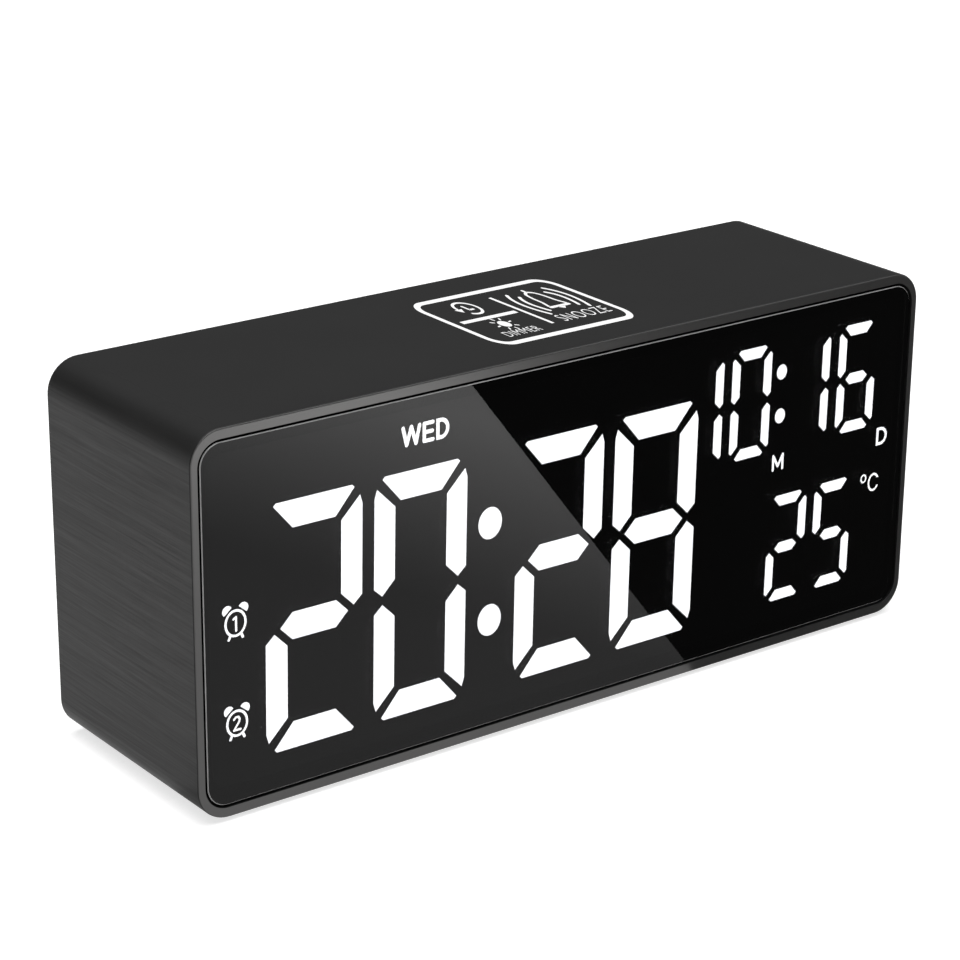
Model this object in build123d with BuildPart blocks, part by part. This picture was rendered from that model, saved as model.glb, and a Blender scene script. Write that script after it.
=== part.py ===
from build123d import *
import math
import os
from collections import namedtuple

# Digital LED alarm clock, in millimetres.
# +X runs to the right of the display, -Y is the front, +Z is up.
# The origin is on the surface it stands on, under the middle of the body.

# ---------------------------------------------------------------- driving sizes
BODY_W = 160.0
BODY_D = 46.0
BODY_H = 68.5
FOOT_H = 0.8
CORNER_R = 6.0
EDGE_R = 0.35
WALL = 2.3
RIM_SIDE = 1.35
RIM_TOP = 1.85
OPENING_R = 4.4

FRONT = -BODY_D / 2
BACK = BODY_D / 2
CENTRE_Z = FOOT_H + BODY_H / 2
OPENING_W = BODY_W - 2 * RIM_SIDE
OPENING_H = BODY_H - 2 * RIM_TOP
CAVITY_W = BODY_W - 2 * WALL
CAVITY_H = BODY_H - 2 * WALL
CAVITY_R = CORNER_R - WALL

# front stack, from the lens back to the LED board
LENS_RECESS = 0.05
LENS_T = 2.0
LENS_GAP = 0.5
LENS_BEVEL = 0.15
TAPE_T = 0.1
FILM_T = 0.2
LEDGE_T = 2.0
LENS_FRONT = FRONT + LENS_RECESS
LENS_BACK = LENS_FRONT + LENS_T
FILM_FRONT = LENS_BACK + TAPE_T
LEDGE_FRONT = FILM_FRONT + FILM_T
LEDGE_BACK = LEDGE_FRONT + LEDGE_T
LEDGE_W = 153.0
LEDGE_H = 58.8
LEDGE_R = 3.0
REFLECTOR_T = 6.0
REFLECTOR_GAP = 0.3
BOARD_T = 1.6
LED_BOARD_FRONT = LEDGE_FRONT + REFLECTOR_T
LED_BOARD_BACK = LED_BOARD_FRONT + BOARD_T
WINDOW_T = 2.2
WINDOW_SETBACK = 0.05

# the LED module sits a little right of and below the lens centre
DISPLAY_X = 0.9
DISPLAY_Z = -0.45

# rear cover, battery bay and door
COVER_T = 2.2
COVER_GAP = 0.2
COVER_OUT = BACK - 1.4
COVER_IN = COVER_OUT - COVER_T
CELL_R = 5.25
CELL_L = 44.5
CELL_PITCH = 11.2
BAY_X0 = 20.0
BAY_X1 = 72.0
BAY_H = 34.8
BAY_WALL = 1.4
BAY_FLOOR = 8.6
DOOR_LEDGE = 1.0
DOOR_GAP = 0.2
DOOR_T = 1.55
DOOR_REST = COVER_OUT - DOOR_T
HINGE_X = BAY_X1
HINGE_Y = COVER_OUT - DOOR_T / 2
HOOK_Z = 5.6
HOOK_W = 3.0
SCOOP_R = 6.0
SCOOP_DEPTH = 0.9

# main board with the buttons
BOARD_X0 = -74.0
BOARD_X1 = 12.0
BOARD_H = 45.0
MAIN_FRONT = 8.0
MAIN_BACK = MAIN_FRONT + BOARD_T
BUTTON_Z = 12.0
BUTTON_X0 = -58.0
BUTTON_PITCH = 13.0
BUTTON_NAMES = ("set", "up", "down", "alarm1", "alarm2")
BUTTON_W = 7.0
BUTTON_H = 5.0
BUTTON_R = 1.6
BUTTON_OUT = COVER_OUT + 1.2
BUTTON_FIT = 0.2
SWITCH_W = 6.0
SWITCH_T = 3.5
PLUNGER_R = 1.75
PLUNGER_FIT = 0.05
PLUNGER_TOP = MAIN_BACK + 5.0
SOCKET_X = -58.0
SOCKET_Z = -13.0
SOCKET_R = 4.0
SOCKET_FIT = 0.2
SOCKET_BLOCK = 9.0
SOCKET_BORE_R = 1.85
SOCKET_PIN_R = 0.65
SOCKET_DEPTH = 9.0
BUZZER_X = -30.0
BUZZER_Z = -10.0
BUZZER_R = 6.0
BUZZER_T = 7.5
SOUND_PITCH = 2.4

COVER_BOSS_R = 3.2
COVER_SCREW_R = 1.3
COVER_SCREW_L = 10.0
COVER_HEAD_R = 2.4
COVER_HEAD_T = 1.4
LED_BOSS_R = 3.0
LED_SCREW_L = 5.5
POST_R = 2.6
POST_SCREW_L = 7.5
POST_PILOT = 6.5
SMALL_SCREW_R = 1.1
SMALL_HEAD_R = 2.2
SCREW_FIT = 0.02
LED_BOSSES = [(74.2, 27.0), (-74.2, 27.0), (74.2, -27.0), (-74.2, -27.0)]
COVER_BOSSES = [(66.0, 27.0), (-66.0, 27.0), (66.0, -27.0), (-66.0, -27.0)]
BOARD_POSTS = [(-70.0, 18.5), (8.0, 18.5), (-70.0, -18.5), (8.0, -18.5)]
FOOT_R = 5.0
FOOT_POCKET = 0.5
FOOT_SPOTS = [(64.0, 13.0), (-64.0, 13.0), (64.0, -13.0), (-64.0, -13.0)]

os.makedirs("parts", exist_ok=True)


# ---------------------------------------------------------------- planes and output
def facing_front(y):
    """Plane across the body at depth y, with X right and Z up; extrusions grow towards the front."""
    return Plane(origin=(0, y, CENTRE_Z), x_dir=(1, 0, 0), z_dir=(0, -1, 0))


def level(z):
    """Horizontal plane at height z."""
    return Plane.XY.offset(z)


def save(node, name):
    """Label one finished piece and write it as its own STEP file."""
    node.part.label = name
    export_step(node.part, f"parts/{name}.step")


# ---------------------------------------------------------------- display outlines
DigitSize = namedtuple("DigitSize", "width height bar upright gap tip_drop middle_half")
LARGE = DigitSize(width=19.3, height=44.5, bar=4.9, upright=4.3, gap=1.0, tip_drop=0.5, middle_half=6.8)
SMALL = DigitSize(width=9.6, height=21.2, bar=2.15, upright=1.95, gap=0.75, tip_drop=0.5, middle_half=2.75)
SLANT = math.tan(math.radians(0.65))
MITRE = 0.86
LIT = {"0": "abcdef", "1": "bc", "2": "abged", "5": "afgcd", "6": "afgedc", "8": "abcdefg"}
ALL_BARS = "abcdefg"

CLOCK_Z = -3.2
DATE_Z = 15.7
WARMTH_Z = -14.6
DIGIT_GROUPS = {
    "hour_segments": [(LARGE, "2", -56.8, CLOCK_Z), (LARGE, "0", -35.1, CLOCK_Z)],
    "minute_segments": [(LARGE, "2", -5.1, CLOCK_Z), (LARGE, "8", 16.7, CLOCK_Z)],
    "month_segments": [(SMALL, "1", 27.5, DATE_Z), (SMALL, "0", 39.1, DATE_Z)],
    "day_segments": [(SMALL, "1", 53.7, DATE_Z), (SMALL, "6", 65.5, DATE_Z)],
    "temperature_segments": [(SMALL, "2", 49.4, WARMTH_Z), (SMALL, "5", 61.0, WARMTH_Z)],
}
MONTH_TENS_X = 27.5


def bar_points(bar, size):
    """Corner points of one bar of a seven-segment digit, about the digit's centre.

    The top bar, the upper right bar and the middle bar are worked out, and the rest mirror them.
    """
    half_w = size.width / 2
    half_h = size.height / 2
    inner = half_w - size.upright
    if bar in "ad":
        flat = inner - 1.1 * size.gap
        tip = flat + (size.bar - size.tip_drop) * MITRE
        points = [
            (-tip, half_h - size.tip_drop),
            (size.tip_drop - tip, half_h),
            (tip - size.tip_drop, half_h),
            (tip, half_h - size.tip_drop),
            (flat, half_h - size.bar),
            (-flat, half_h - size.bar),
        ]
    elif bar == "g":
        flat = size.middle_half - size.bar / 2
        points = [
            (-size.middle_half, 0),
            (-flat, size.bar / 2),
            (flat, size.bar / 2),
            (size.middle_half, 0),
            (flat, -size.bar / 2),
            (-flat, -size.bar / 2),
        ]
    else:
        shoulder = half_h - size.bar - 0.9 * size.gap
        tip_inset = 0.5
        foot = size.bar / 2 + 0.9 * size.gap
        reach = 0.6 * size.upright
        points = [
            (inner, shoulder),
            (half_w - tip_inset, shoulder + size.upright - tip_inset),
            (half_w, shoulder + size.upright / 2),
            (half_w, foot - reach + 0.36 * size.upright),
            (inner + reach, foot - reach),
            (inner, foot),
        ]
    side = -1 if bar in "ef" else 1
    rise = -1 if bar in "cde" else 1
    return [(side * x + rise * z * SLANT, rise * z) for x, z in points]


def digit_outline(digits, lit=True):
    """Sketch of the lit bars, or of the dark ones, of some digits."""
    with BuildSketch() as outline:
        for size, numeral, x, z in digits:
            bars = [bar for bar in ALL_BARS if (bar in LIT[numeral]) == lit]
            if x == MONTH_TENS_X and not lit:
                continue
            for bar in bars:
                with Locations((x, z)):
                    Polygon(*bar_points(bar, size), align=None)
    return outline.sketch


def stroke(start, end, width):
    """Round-ended bar from one point to the other, drawn in the current sketch."""
    dx = end[0] - start[0]
    dz = end[1] - start[1]
    middle = ((start[0] + end[0]) / 2, (start[1] + end[1]) / 2)
    with Locations(Location(middle, math.degrees(math.atan2(dz, dx)))):
        SlotCenterToCenter(math.hypot(dx, dz), width)


def stroke_path(points, width):
    """Round-ended bars through a list of points."""
    for start, end in zip(points, points[1:]):
        stroke(start, end, width)


def dots(spots, width, height):
    """Sketch of upright oval dots."""
    with BuildSketch() as outline:
        with Locations(*spots):
            Ellipse(width / 2, height / 2)
    return outline.sketch


def letter_d(width, height, line):
    """Capital D: a stem with a half-oval bowl."""
    bowl = 0.62 * width
    with BuildSketch() as outline:
        with Locations((-bowl / 2, 0)):
            Rectangle(width - bowl, height)
        with Locations((width / 2 - bowl, 0)):
            Ellipse(bowl, height / 2)
        with Locations((line / 2 - bowl / 2, 0)):
            Rectangle(width - bowl - line, height - 2 * line, mode=Mode.SUBTRACT)
        with Locations((width / 2 - bowl, 0)):
            Ellipse(bowl - line, height / 2 - line, mode=Mode.SUBTRACT)
        with Locations((line / 2 - width / 2, 0)):
            Rectangle(line, height)
        with Locations((-width / 2, 0)):
            Rectangle(bowl, 2 * height, align=(Align.MAX, Align.CENTER), mode=Mode.SUBTRACT)
    return outline.sketch


def weekday_letters():
    """Sketch of the weekday legend: W, E and D in a row."""
    line = 0.72
    top = 1.9 - line / 2
    with BuildSketch() as outline:
        wide = 2.05 - line / 2
        stroke_path([(-wide, top), (-0.95, -top), (0, top), (0.95, -top), (wide, top)], line)
        stem = 3.55 - 1.25 + line / 2
        arm = 3.55 + 1.25 - line / 2
        stroke_path([(arm, top), (stem, top), (stem, -top), (arm, -top)], line)
        stroke((stem, 0), (arm - 0.15, 0), line)
        with Locations((6.5, 0)):
            add(letter_d(2.75, 3.8, line))
    return outline.sketch


def letter_m(width, height, line):
    """Capital M from four strokes."""
    x = width / 2 - line / 2
    z = height / 2 - line / 2
    with BuildSketch() as outline:
        stroke_path([(-x, -z), (-x, z), (0, -0.55 * z), (x, z), (x, -z)], line)
    return outline.sketch


def degree_c():
    """Degree ring with a capital C, about the centre of the C."""
    line = 0.45
    with BuildSketch() as outline:
        Ellipse(1.45, 1.85)
        Ellipse(1.45 - line, 1.85 - line, mode=Mode.SUBTRACT)
        with Locations((0.55, 0)):
            Rectangle(2.0, 1.5, align=(Align.MIN, Align.CENTER), mode=Mode.SUBTRACT)
        with Locations((-2.65, 1.2)):
            Ellipse(0.8, 0.9)
            Ellipse(0.45, 0.55, mode=Mode.SUBTRACT)
    return outline.sketch


def alarm_sign(numeral):
    """Twin-bell clock sign with a numeral inside its ring."""
    with BuildSketch() as bell:
        Circle(0.98)
        with Locations((0, -0.2)):
            Rectangle(3.0, 2.0, align=(Align.CENTER, Align.MAX), mode=Mode.SUBTRACT)
    with BuildSketch() as outline:
        Ellipse(2.15, 2.45)
        Ellipse(1.7, 2.0, mode=Mode.SUBTRACT)
        for side in (-1, 1):
            stroke((side * 1.1, -2.15), (side * 1.35, -2.7), 0.5)
            with Locations(Location((side * 1.55, 2.4), -side * 40)):
                add(bell.sketch)
        if numeral == 1:
            stroke_path([(-0.4, 0.75), (0.1, 1.05), (0.1, -1.35)], 0.42)
        else:
            stroke_path([(-0.6, 0.75), (-0.3, 1.1), (0.25, 1.1), (0.5, 0.7), (0.4, 0.2)], 0.4)
            stroke_path([(0.4, 0.2), (-0.65, -1.2), (0.65, -1.2)], 0.4)
    return outline.sketch


def placed(pieces):
    """Sketch of several outlines, each moved to its spot."""
    with BuildSketch() as outline:
        for spot, piece in pieces:
            with Locations(spot):
                add(piece)
    return outline.sketch


WINDOWS = {name: digit_outline(digits) for name, digits in DIGIT_GROUPS.items()}
WINDOWS["colon_dots"] = dots([(-20.3, 5.75), (-20.3, -12.35)], 5.1, 5.9)
WINDOWS["date_dots"] = dots([(46.5, 20.35), (46.5, 11.85)], 2.5, 2.9)
WINDOWS["weekday_legend"] = placed([((-37.0, 25.2), weekday_letters())])
WINDOWS["unit_legends"] = placed([
    ((46.5, 2.75), letter_m(2.9, 3.3, 0.55)),
    ((73.1, 2.5), letter_d(2.8, 3.6, 0.6)),
    ((71.6, -6.6), degree_c()),
])
WINDOWS["alarm_icons"] = placed([((-72.2, 0.0), alarm_sign(1)), ((-72.3, -17.9), alarm_sign(2))])
WINDOWS["unlit_segments"] = digit_outline(sum(DIGIT_GROUPS.values(), []), lit=False)

# each bar and dot has its own well in the reflector, and each small legend shares a plain one
LEGENDS = ("weekday_legend", "unit_legends", "alarm_icons")
BAR_WELLS = [outline for name, outline in WINDOWS.items() if name not in LEGENDS]
LEGEND_WELLS = [
    ((-34.1, 25.2), (10.8, 4.6)),
    ((46.5, 2.75), (3.9, 4.3)),
    ((73.1, 2.5), (3.1, 4.4)),
    ((70.5, -6.45), (5.8, 4.8)),
    ((-72.2, 0.2), (5.9, 7.0)),
    ((-72.3, -17.7), (5.9, 7.0)),
]

for window_name, window_outline in WINDOWS.items():
    with BuildPart() as window:
        with BuildSketch(facing_front(FILM_FRONT + WINDOW_SETBACK + WINDOW_T)):
            with Locations((DISPLAY_X, DISPLAY_Z)):
                add(window_outline)
        extrude(amount=WINDOW_T)
    save(window, window_name)

# ---------------------------------------------------------------- housing
with BuildPart() as housing:
    with BuildSketch(facing_front(BACK)):
        RectangleRounded(BODY_W, BODY_H, CORNER_R)
    extrude(amount=BODY_D)
    end_faces = housing.faces().sort_by(Axis.Y)
    fillet(end_faces[0].edges() + end_faces[-1].edges(), EDGE_R)
    with BuildSketch(facing_front(LEDGE_FRONT)):
        RectangleRounded(OPENING_W, OPENING_H, OPENING_R)
    extrude(amount=LEDGE_FRONT - FRONT, mode=Mode.SUBTRACT)
    with BuildSketch(facing_front(LEDGE_BACK)):
        RectangleRounded(LEDGE_W, LEDGE_H, LEDGE_R)
    extrude(amount=LEDGE_T, mode=Mode.SUBTRACT)
    with BuildSketch(facing_front(BACK)):
        RectangleRounded(CAVITY_W, CAVITY_H, CAVITY_R)
    extrude(amount=BACK - LEDGE_BACK, mode=Mode.SUBTRACT)
    # short bosses for the LED board, merged with the ledge's corners
    with BuildSketch(facing_front(LED_BOARD_FRONT)):
        with Locations(*LED_BOSSES):
            Circle(LED_BOSS_R)
    extrude(amount=LED_BOARD_FRONT - LEDGE_FRONT)
    with BuildSketch(facing_front(LED_BOARD_FRONT)):
        with Locations(*LED_BOSSES):
            Circle(SMALL_SCREW_R + SCREW_FIT)
    extrude(amount=LED_BOARD_FRONT - LEDGE_FRONT - 1.0, mode=Mode.SUBTRACT)
    # long bosses for the rear cover, each tied to the wall by a rib
    with BuildSketch(facing_front(COVER_IN)):
        for x, z in COVER_BOSSES:
            wall_z = math.copysign(CAVITY_H / 2 + 0.5, z)
            with Locations((x, z)):
                Circle(COVER_BOSS_R)
            with Locations((x, (z + wall_z) / 2)):
                Rectangle(2 * COVER_BOSS_R, abs(wall_z - z))
    extrude(amount=COVER_IN)
    with BuildSketch(facing_front(COVER_IN)):
        with Locations(*COVER_BOSSES):
            Circle(COVER_SCREW_R + SCREW_FIT)
    extrude(amount=COVER_SCREW_L + 0.5, mode=Mode.SUBTRACT)
    # shallow pockets for the feet
    with BuildSketch(level(FOOT_H)):
        with Locations(*FOOT_SPOTS):
            Circle(FOOT_R + 0.05)
    extrude(amount=FOOT_POCKET, mode=Mode.SUBTRACT)
save(housing, "housing")

with BuildPart() as rubber_feet:
    with BuildSketch(level(0)):
        with Locations(*FOOT_SPOTS):
            Circle(FOOT_R)
    extrude(amount=FOOT_H + FOOT_POCKET)
    fillet(rubber_feet.faces().group_by(Axis.Z)[0].edges(), 0.3)
save(rubber_feet, "rubber_feet")

# ---------------------------------------------------------------- front stack
LENS_W = OPENING_W - 2 * LENS_GAP
LENS_H = OPENING_H - 2 * LENS_GAP
LENS_R = OPENING_R - LENS_GAP

with BuildPart() as front_lens:
    with BuildSketch(facing_front(LENS_BACK)):
        RectangleRounded(LENS_W, LENS_H, LENS_R)
    extrude(amount=LENS_T)
    chamfer(front_lens.faces().sort_by(Axis.Y)[0].edges(), LENS_BEVEL)
save(front_lens, "front_lens")

with BuildPart() as lens_tape:
    with BuildSketch(facing_front(FILM_FRONT)):
        RectangleRounded(LENS_W - 0.4, LENS_H - 0.4, LENS_R - 0.2)
        RectangleRounded(LEDGE_W, LEDGE_H, LEDGE_R, mode=Mode.SUBTRACT)
    extrude(amount=TAPE_T)
save(lens_tape, "lens_tape")

with BuildPart() as display_mask:
    with BuildSketch(facing_front(LEDGE_FRONT)):
        RectangleRounded(LENS_W, LENS_H, LENS_R)
        with Locations((DISPLAY_X, DISPLAY_Z)):
            for outline in WINDOWS.values():
                add(outline, mode=Mode.SUBTRACT)
    extrude(amount=FILM_T)
save(display_mask, "display_mask")

with BuildPart() as segment_reflector:
    with BuildSketch(facing_front(LED_BOARD_FRONT)):
        RectangleRounded(LEDGE_W - 2 * REFLECTOR_GAP, LEDGE_H - 2 * REFLECTOR_GAP, LEDGE_R - REFLECTOR_GAP)
        with Locations(*LED_BOSSES):
            Circle(LED_BOSS_R + REFLECTOR_GAP, mode=Mode.SUBTRACT)
        with Locations((DISPLAY_X, DISPLAY_Z)):
            for outline in BAR_WELLS:
                add(outline, mode=Mode.SUBTRACT)
        for (x, z), (width, height) in LEGEND_WELLS:
            with Locations((x + DISPLAY_X, z + DISPLAY_Z)):
                Rectangle(width, height, mode=Mode.SUBTRACT)
    extrude(amount=REFLECTOR_T)
save(segment_reflector, "segment_reflector")

BAR_LED_SPOTS = [face.center() for outline in BAR_WELLS for face in outline.faces()]
LED_SPOTS = [(spot.X + DISPLAY_X, spot.Y + DISPLAY_Z) for spot in BAR_LED_SPOTS]
LED_SPOTS += [(x + DISPLAY_X, z + DISPLAY_Z) for (x, z), _ in LEGEND_WELLS]

with BuildPart() as led_board:
    with BuildSketch(facing_front(LED_BOARD_BACK)):
        RectangleRounded(CAVITY_W - 2.0, CAVITY_H - 2.0, CAVITY_R - 1.0)
        with Locations(*LED_BOSSES):
            Circle(SMALL_SCREW_R + 0.1, mode=Mode.SUBTRACT)
    extrude(amount=BOARD_T)
save(led_board, "led_board")

with BuildPart() as led_chips:
    with BuildSketch(facing_front(LED_BOARD_FRONT)):
        with Locations(*LED_SPOTS):
            Rectangle(0.8, 1.3)
    extrude(amount=0.5)
save(led_chips, "led_chips")


def screws(spots, seat_y, head_r, head_t, shank_r, shank_l, towards_back):
    """Cross-head screws seated at depth seat_y; the head stands on one side of it."""
    head_dir = -1 if towards_back else 1
    with BuildPart() as group:
        with BuildSketch(facing_front(seat_y)):
            with Locations(*spots):
                Circle(head_r)
        extrude(amount=-head_dir * head_t)
        fillet(group.faces().sort_by(Axis.Y)[0 if towards_back else -1].edges(), 0.3)
        with BuildSketch(facing_front(seat_y + head_dir * head_t)):
            for spot in spots:
                with Locations(spot):
                    Rectangle(1.2 * head_r, 0.3 * head_r)
                    Rectangle(0.3 * head_r, 1.2 * head_r)
        extrude(amount=head_dir * 0.6 * head_t, mode=Mode.SUBTRACT)
        with BuildSketch(facing_front(seat_y)):
            with Locations(*spots):
                Circle(shank_r)
        extrude(amount=head_dir * shank_l)
    return group


led_board_screws = screws(LED_BOSSES, LED_BOARD_BACK, SMALL_HEAD_R, 1.5, SMALL_SCREW_R, LED_SCREW_L, False)
save(led_board_screws, "led_board_screws")

# ---------------------------------------------------------------- rear cover
COVER_W = CAVITY_W - 2 * COVER_GAP
COVER_H = CAVITY_H - 2 * COVER_GAP
SCREW_SEAT = COVER_OUT - 1.5
BAY_MID = (BAY_X0 + BAY_X1) / 2
BAY_L = BAY_X1 - BAY_X0
BUTTON_SPOTS = [(BUTTON_X0 + BUTTON_PITCH * i, BUTTON_Z) for i in range(len(BUTTON_NAMES))]
SOUND_SLOTS = [(BUZZER_X, BUZZER_Z + SOUND_PITCH * i) for i in range(-2, 3)]

with BuildPart() as rear_cover:
    with BuildSketch(facing_front(COVER_OUT)):
        RectangleRounded(COVER_W, COVER_H, CAVITY_R - COVER_GAP)
    extrude(amount=COVER_T)
    # moulded battery bay
    with BuildSketch(facing_front(COVER_IN)):
        with Locations((BAY_MID, 0)):
            Rectangle(BAY_L + 2 * BAY_WALL, BAY_H + 2 * BAY_WALL)
    extrude(amount=COVER_IN - BAY_FLOOR + BAY_WALL)
    # posts for the main board
    with BuildSketch(facing_front(COVER_IN)):
        with Locations(*BOARD_POSTS):
            Circle(POST_R)
    extrude(amount=COVER_IN - MAIN_BACK)
    with BuildSketch(facing_front(COVER_OUT)):
        with Locations((BAY_MID, 0)):
            Rectangle(BAY_L, BAY_H)
    extrude(amount=COVER_OUT - BAY_FLOOR, mode=Mode.SUBTRACT)
    with BuildSketch(facing_front(COVER_OUT)):
        with Locations((BAY_MID, 0)):
            Rectangle(BAY_L + 2 * DOOR_LEDGE, BAY_H + 2 * DOOR_LEDGE)
    extrude(amount=DOOR_T + 0.1, mode=Mode.SUBTRACT)
    # slots in the bay's outer wall that the door's hooks swing through
    with BuildSketch(facing_front(COVER_IN)):
        with Locations(*[(BAY_X1 + BAY_WALL / 2, side * HOOK_Z) for side in (-1, 1)]):
            Rectangle(2 * BAY_WALL, HOOK_W + 0.6)
    extrude(amount=3.6, mode=Mode.SUBTRACT)
    # thumb scoop beside the door's free edge
    with BuildSketch(facing_front(COVER_OUT)):
        with Locations((BAY_X0 - DOOR_LEDGE, 0)):
            Circle(SCOOP_R)
    extrude(amount=SCOOP_DEPTH, mode=Mode.SUBTRACT)
    # button, socket, sound and screw holes
    with BuildSketch(facing_front(COVER_OUT)):
        with Locations(*BUTTON_SPOTS):
            RectangleRounded(BUTTON_W + 2 * BUTTON_FIT, BUTTON_H + 2 * BUTTON_FIT, BUTTON_R + BUTTON_FIT)
        with Locations((SOCKET_X, SOCKET_Z)):
            Circle(SOCKET_R + SOCKET_FIT)
        with Locations(*SOUND_SLOTS):
            SlotOverall(11.0, 1.2)
        with Locations(*COVER_BOSSES):
            Circle(COVER_SCREW_R + 0.2)
    extrude(amount=COVER_T, mode=Mode.SUBTRACT)
    with BuildSketch(facing_front(COVER_OUT)):
        with Locations(*COVER_BOSSES):
            Circle(COVER_HEAD_R + 0.3)
    extrude(amount=COVER_OUT - SCREW_SEAT, mode=Mode.SUBTRACT)
    with BuildSketch(facing_front(MAIN_BACK + POST_PILOT)):
        with Locations(*BOARD_POSTS):
            Circle(SMALL_SCREW_R + SCREW_FIT)
    extrude(amount=POST_PILOT, mode=Mode.SUBTRACT)
save(rear_cover, "rear_cover")

cover_screws = screws(
    COVER_BOSSES, SCREW_SEAT, COVER_HEAD_R, COVER_HEAD_T, COVER_SCREW_R, COVER_SCREW_L, False
)
save(cover_screws, "cover_screws")

# ---------------------------------------------------------------- battery door
DOOR_X0 = BAY_X0 - DOOR_LEDGE + DOOR_GAP
DOOR_X1 = HINGE_X
DOOR_H = BAY_H + 2 * DOOR_LEDGE - 2 * DOOR_GAP
HOOK_TIP = HINGE_X + 3.0
HOOK_TOP = COVER_IN - 0.2
HOOK_T = 1.2
ARM_X0 = HINGE_X - 1.8
ARM_X1 = HINGE_X - 0.2
RIDGE_SPOTS = [(BAY_X0 + 4.0 + 1.6 * i, 0) for i in range(4)]

with BuildPart() as battery_door:
    with BuildSketch(level(CENTRE_Z - DOOR_H / 2)):
        with Locations((HINGE_X, HINGE_Y)):
            Circle(DOOR_T / 2)
        with Locations(((DOOR_X0 + DOOR_X1) / 2, HINGE_Y)):
            Rectangle(DOOR_X1 - DOOR_X0, DOOR_T)
    extrude(amount=DOOR_H)
    # two hooks that lever under the cover's edge
    with BuildSketch(level(CENTRE_Z - HOOK_Z - HOOK_W / 2), level(CENTRE_Z + HOOK_Z - HOOK_W / 2)):
        with BuildLine():
            Polyline(
                (ARM_X0, HINGE_Y),
                (ARM_X1, HINGE_Y),
                (ARM_X1, HOOK_TOP),
                (HOOK_TIP, HOOK_TOP),
                (HOOK_TIP, HOOK_TOP - HOOK_T),
                (ARM_X0, HOOK_TOP - HOOK_T),
                close=True,
            )
        make_face()
    extrude(amount=HOOK_W)
    # slits that free the snap tongue at the open edge
    with BuildSketch(facing_front(COVER_OUT)):
        with Locations(*[(DOOR_X0 + 3.5, side * 6.0) for side in (-1, 1)]):
            Rectangle(7.0, 0.6)
    extrude(amount=DOOR_T, mode=Mode.SUBTRACT)
    # thumb ridges
    with BuildSketch(facing_front(COVER_OUT)):
        with Locations(*RIDGE_SPOTS):
            RectangleRounded(0.7, 9.0, 0.3)
    extrude(amount=-0.35)
save(battery_door, "battery_door")

# ---------------------------------------------------------------- cells and contacts
CELL_Y = 14.15
CELL_ROWS = [-CELL_PITCH, 0.0, CELL_PITCH]
NUB_R = 2.6
NUB_L = 1.2
CONTACT_T = 0.4
CONTACT_W = 6.0
CONTACT_H = 7.2
PLUS_DISC_R = 1.8
SPRING_R = 3.4
SPRING_TAPER = 14
PLUS_END = 70.0
MINUS_GAP = BAY_L - (BAY_X1 - PLUS_END) - CELL_L


def along_x(x, direction):
    """Plane across the cells at x, with extrusions running along direction times X."""
    return Plane(origin=(x, CELL_Y, CENTRE_Z), x_dir=(0, 1, 0), z_dir=(direction, 0, 0))


def row_point(row, direction):
    """The spot of one cell row in an along_x plane."""
    return (0, row * direction)


def cell_pointing(row):
    """+1 where the cell's nub points along +X, -1 where it points the other way."""
    return 1 if row == 0 else -1


def mirrored_x(x, direction):
    """The same distance from the bay's other end when the cell is turned round."""
    return x if direction == 1 else BAY_X0 + BAY_X1 - x


with BuildPart() as aaa_cells:
    for row in CELL_ROWS:
        way = cell_pointing(row)
        with BuildSketch(along_x(mirrored_x(PLUS_END - CELL_L, way), way)):
            with Locations(row_point(row, way)):
                Circle(CELL_R)
        extrude(amount=CELL_L - NUB_L)
        with BuildSketch(along_x(mirrored_x(PLUS_END - NUB_L, way), way)):
            with Locations(row_point(row, way)):
                Circle(NUB_R)
        extrude(amount=NUB_L)
save(aaa_cells, "aaa_cells")

with BuildPart() as positive_contacts:
    for row in CELL_ROWS:
        way = cell_pointing(row)
        with BuildSketch(along_x(mirrored_x(BAY_X1, way), -way)):
            with Locations(row_point(row, -way)):
                Rectangle(CONTACT_W, CONTACT_H)
        extrude(amount=CONTACT_T)
        with BuildSketch(along_x(mirrored_x(BAY_X1 - CONTACT_T, way), -way)):
            with Locations(row_point(row, -way)):
                Circle(PLUS_DISC_R)
        extrude(amount=BAY_X1 - CONTACT_T - PLUS_END)
save(positive_contacts, "positive_contacts")

with BuildPart() as negative_springs:
    for row in CELL_ROWS:
        way = cell_pointing(row)
        with BuildSketch(along_x(mirrored_x(BAY_X0, way), way)):
            with Locations(row_point(row, way)):
                Rectangle(CONTACT_W, CONTACT_H)
        extrude(amount=CONTACT_T)
        with BuildSketch(along_x(mirrored_x(BAY_X0 + CONTACT_T, way), way)):
            with Locations(row_point(row, way)):
                Circle(SPRING_R)
        extrude(amount=MINUS_GAP - CONTACT_T, taper=SPRING_TAPER)
save(negative_springs, "negative_springs")

# ---------------------------------------------------------------- main board and its parts
BOARD_MID = (BOARD_X0 + BOARD_X1) / 2

with BuildPart() as main_board:
    with BuildSketch(facing_front(MAIN_BACK)):
        with Locations((BOARD_MID, 0)):
            RectangleRounded(BOARD_X1 - BOARD_X0, BOARD_H, 1.5)
        with Locations(*BOARD_POSTS):
            Circle(SMALL_SCREW_R + 0.1, mode=Mode.SUBTRACT)
    extrude(amount=BOARD_T)
save(main_board, "main_board")

main_board_screws = screws(BOARD_POSTS, MAIN_FRONT, SMALL_HEAD_R, 1.4, SMALL_SCREW_R, POST_SCREW_L, True)
save(main_board_screws, "main_board_screws")

with BuildPart() as microcontroller:
    with BuildSketch(facing_front(MAIN_FRONT)):
        with Locations((-40, -2)):
            Rectangle(10.0, 10.0)
    extrude(amount=1.6)
    chamfer(microcontroller.faces().sort_by(Axis.Y)[0].edges(), 0.3)
save(microcontroller, "microcontroller")

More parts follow.
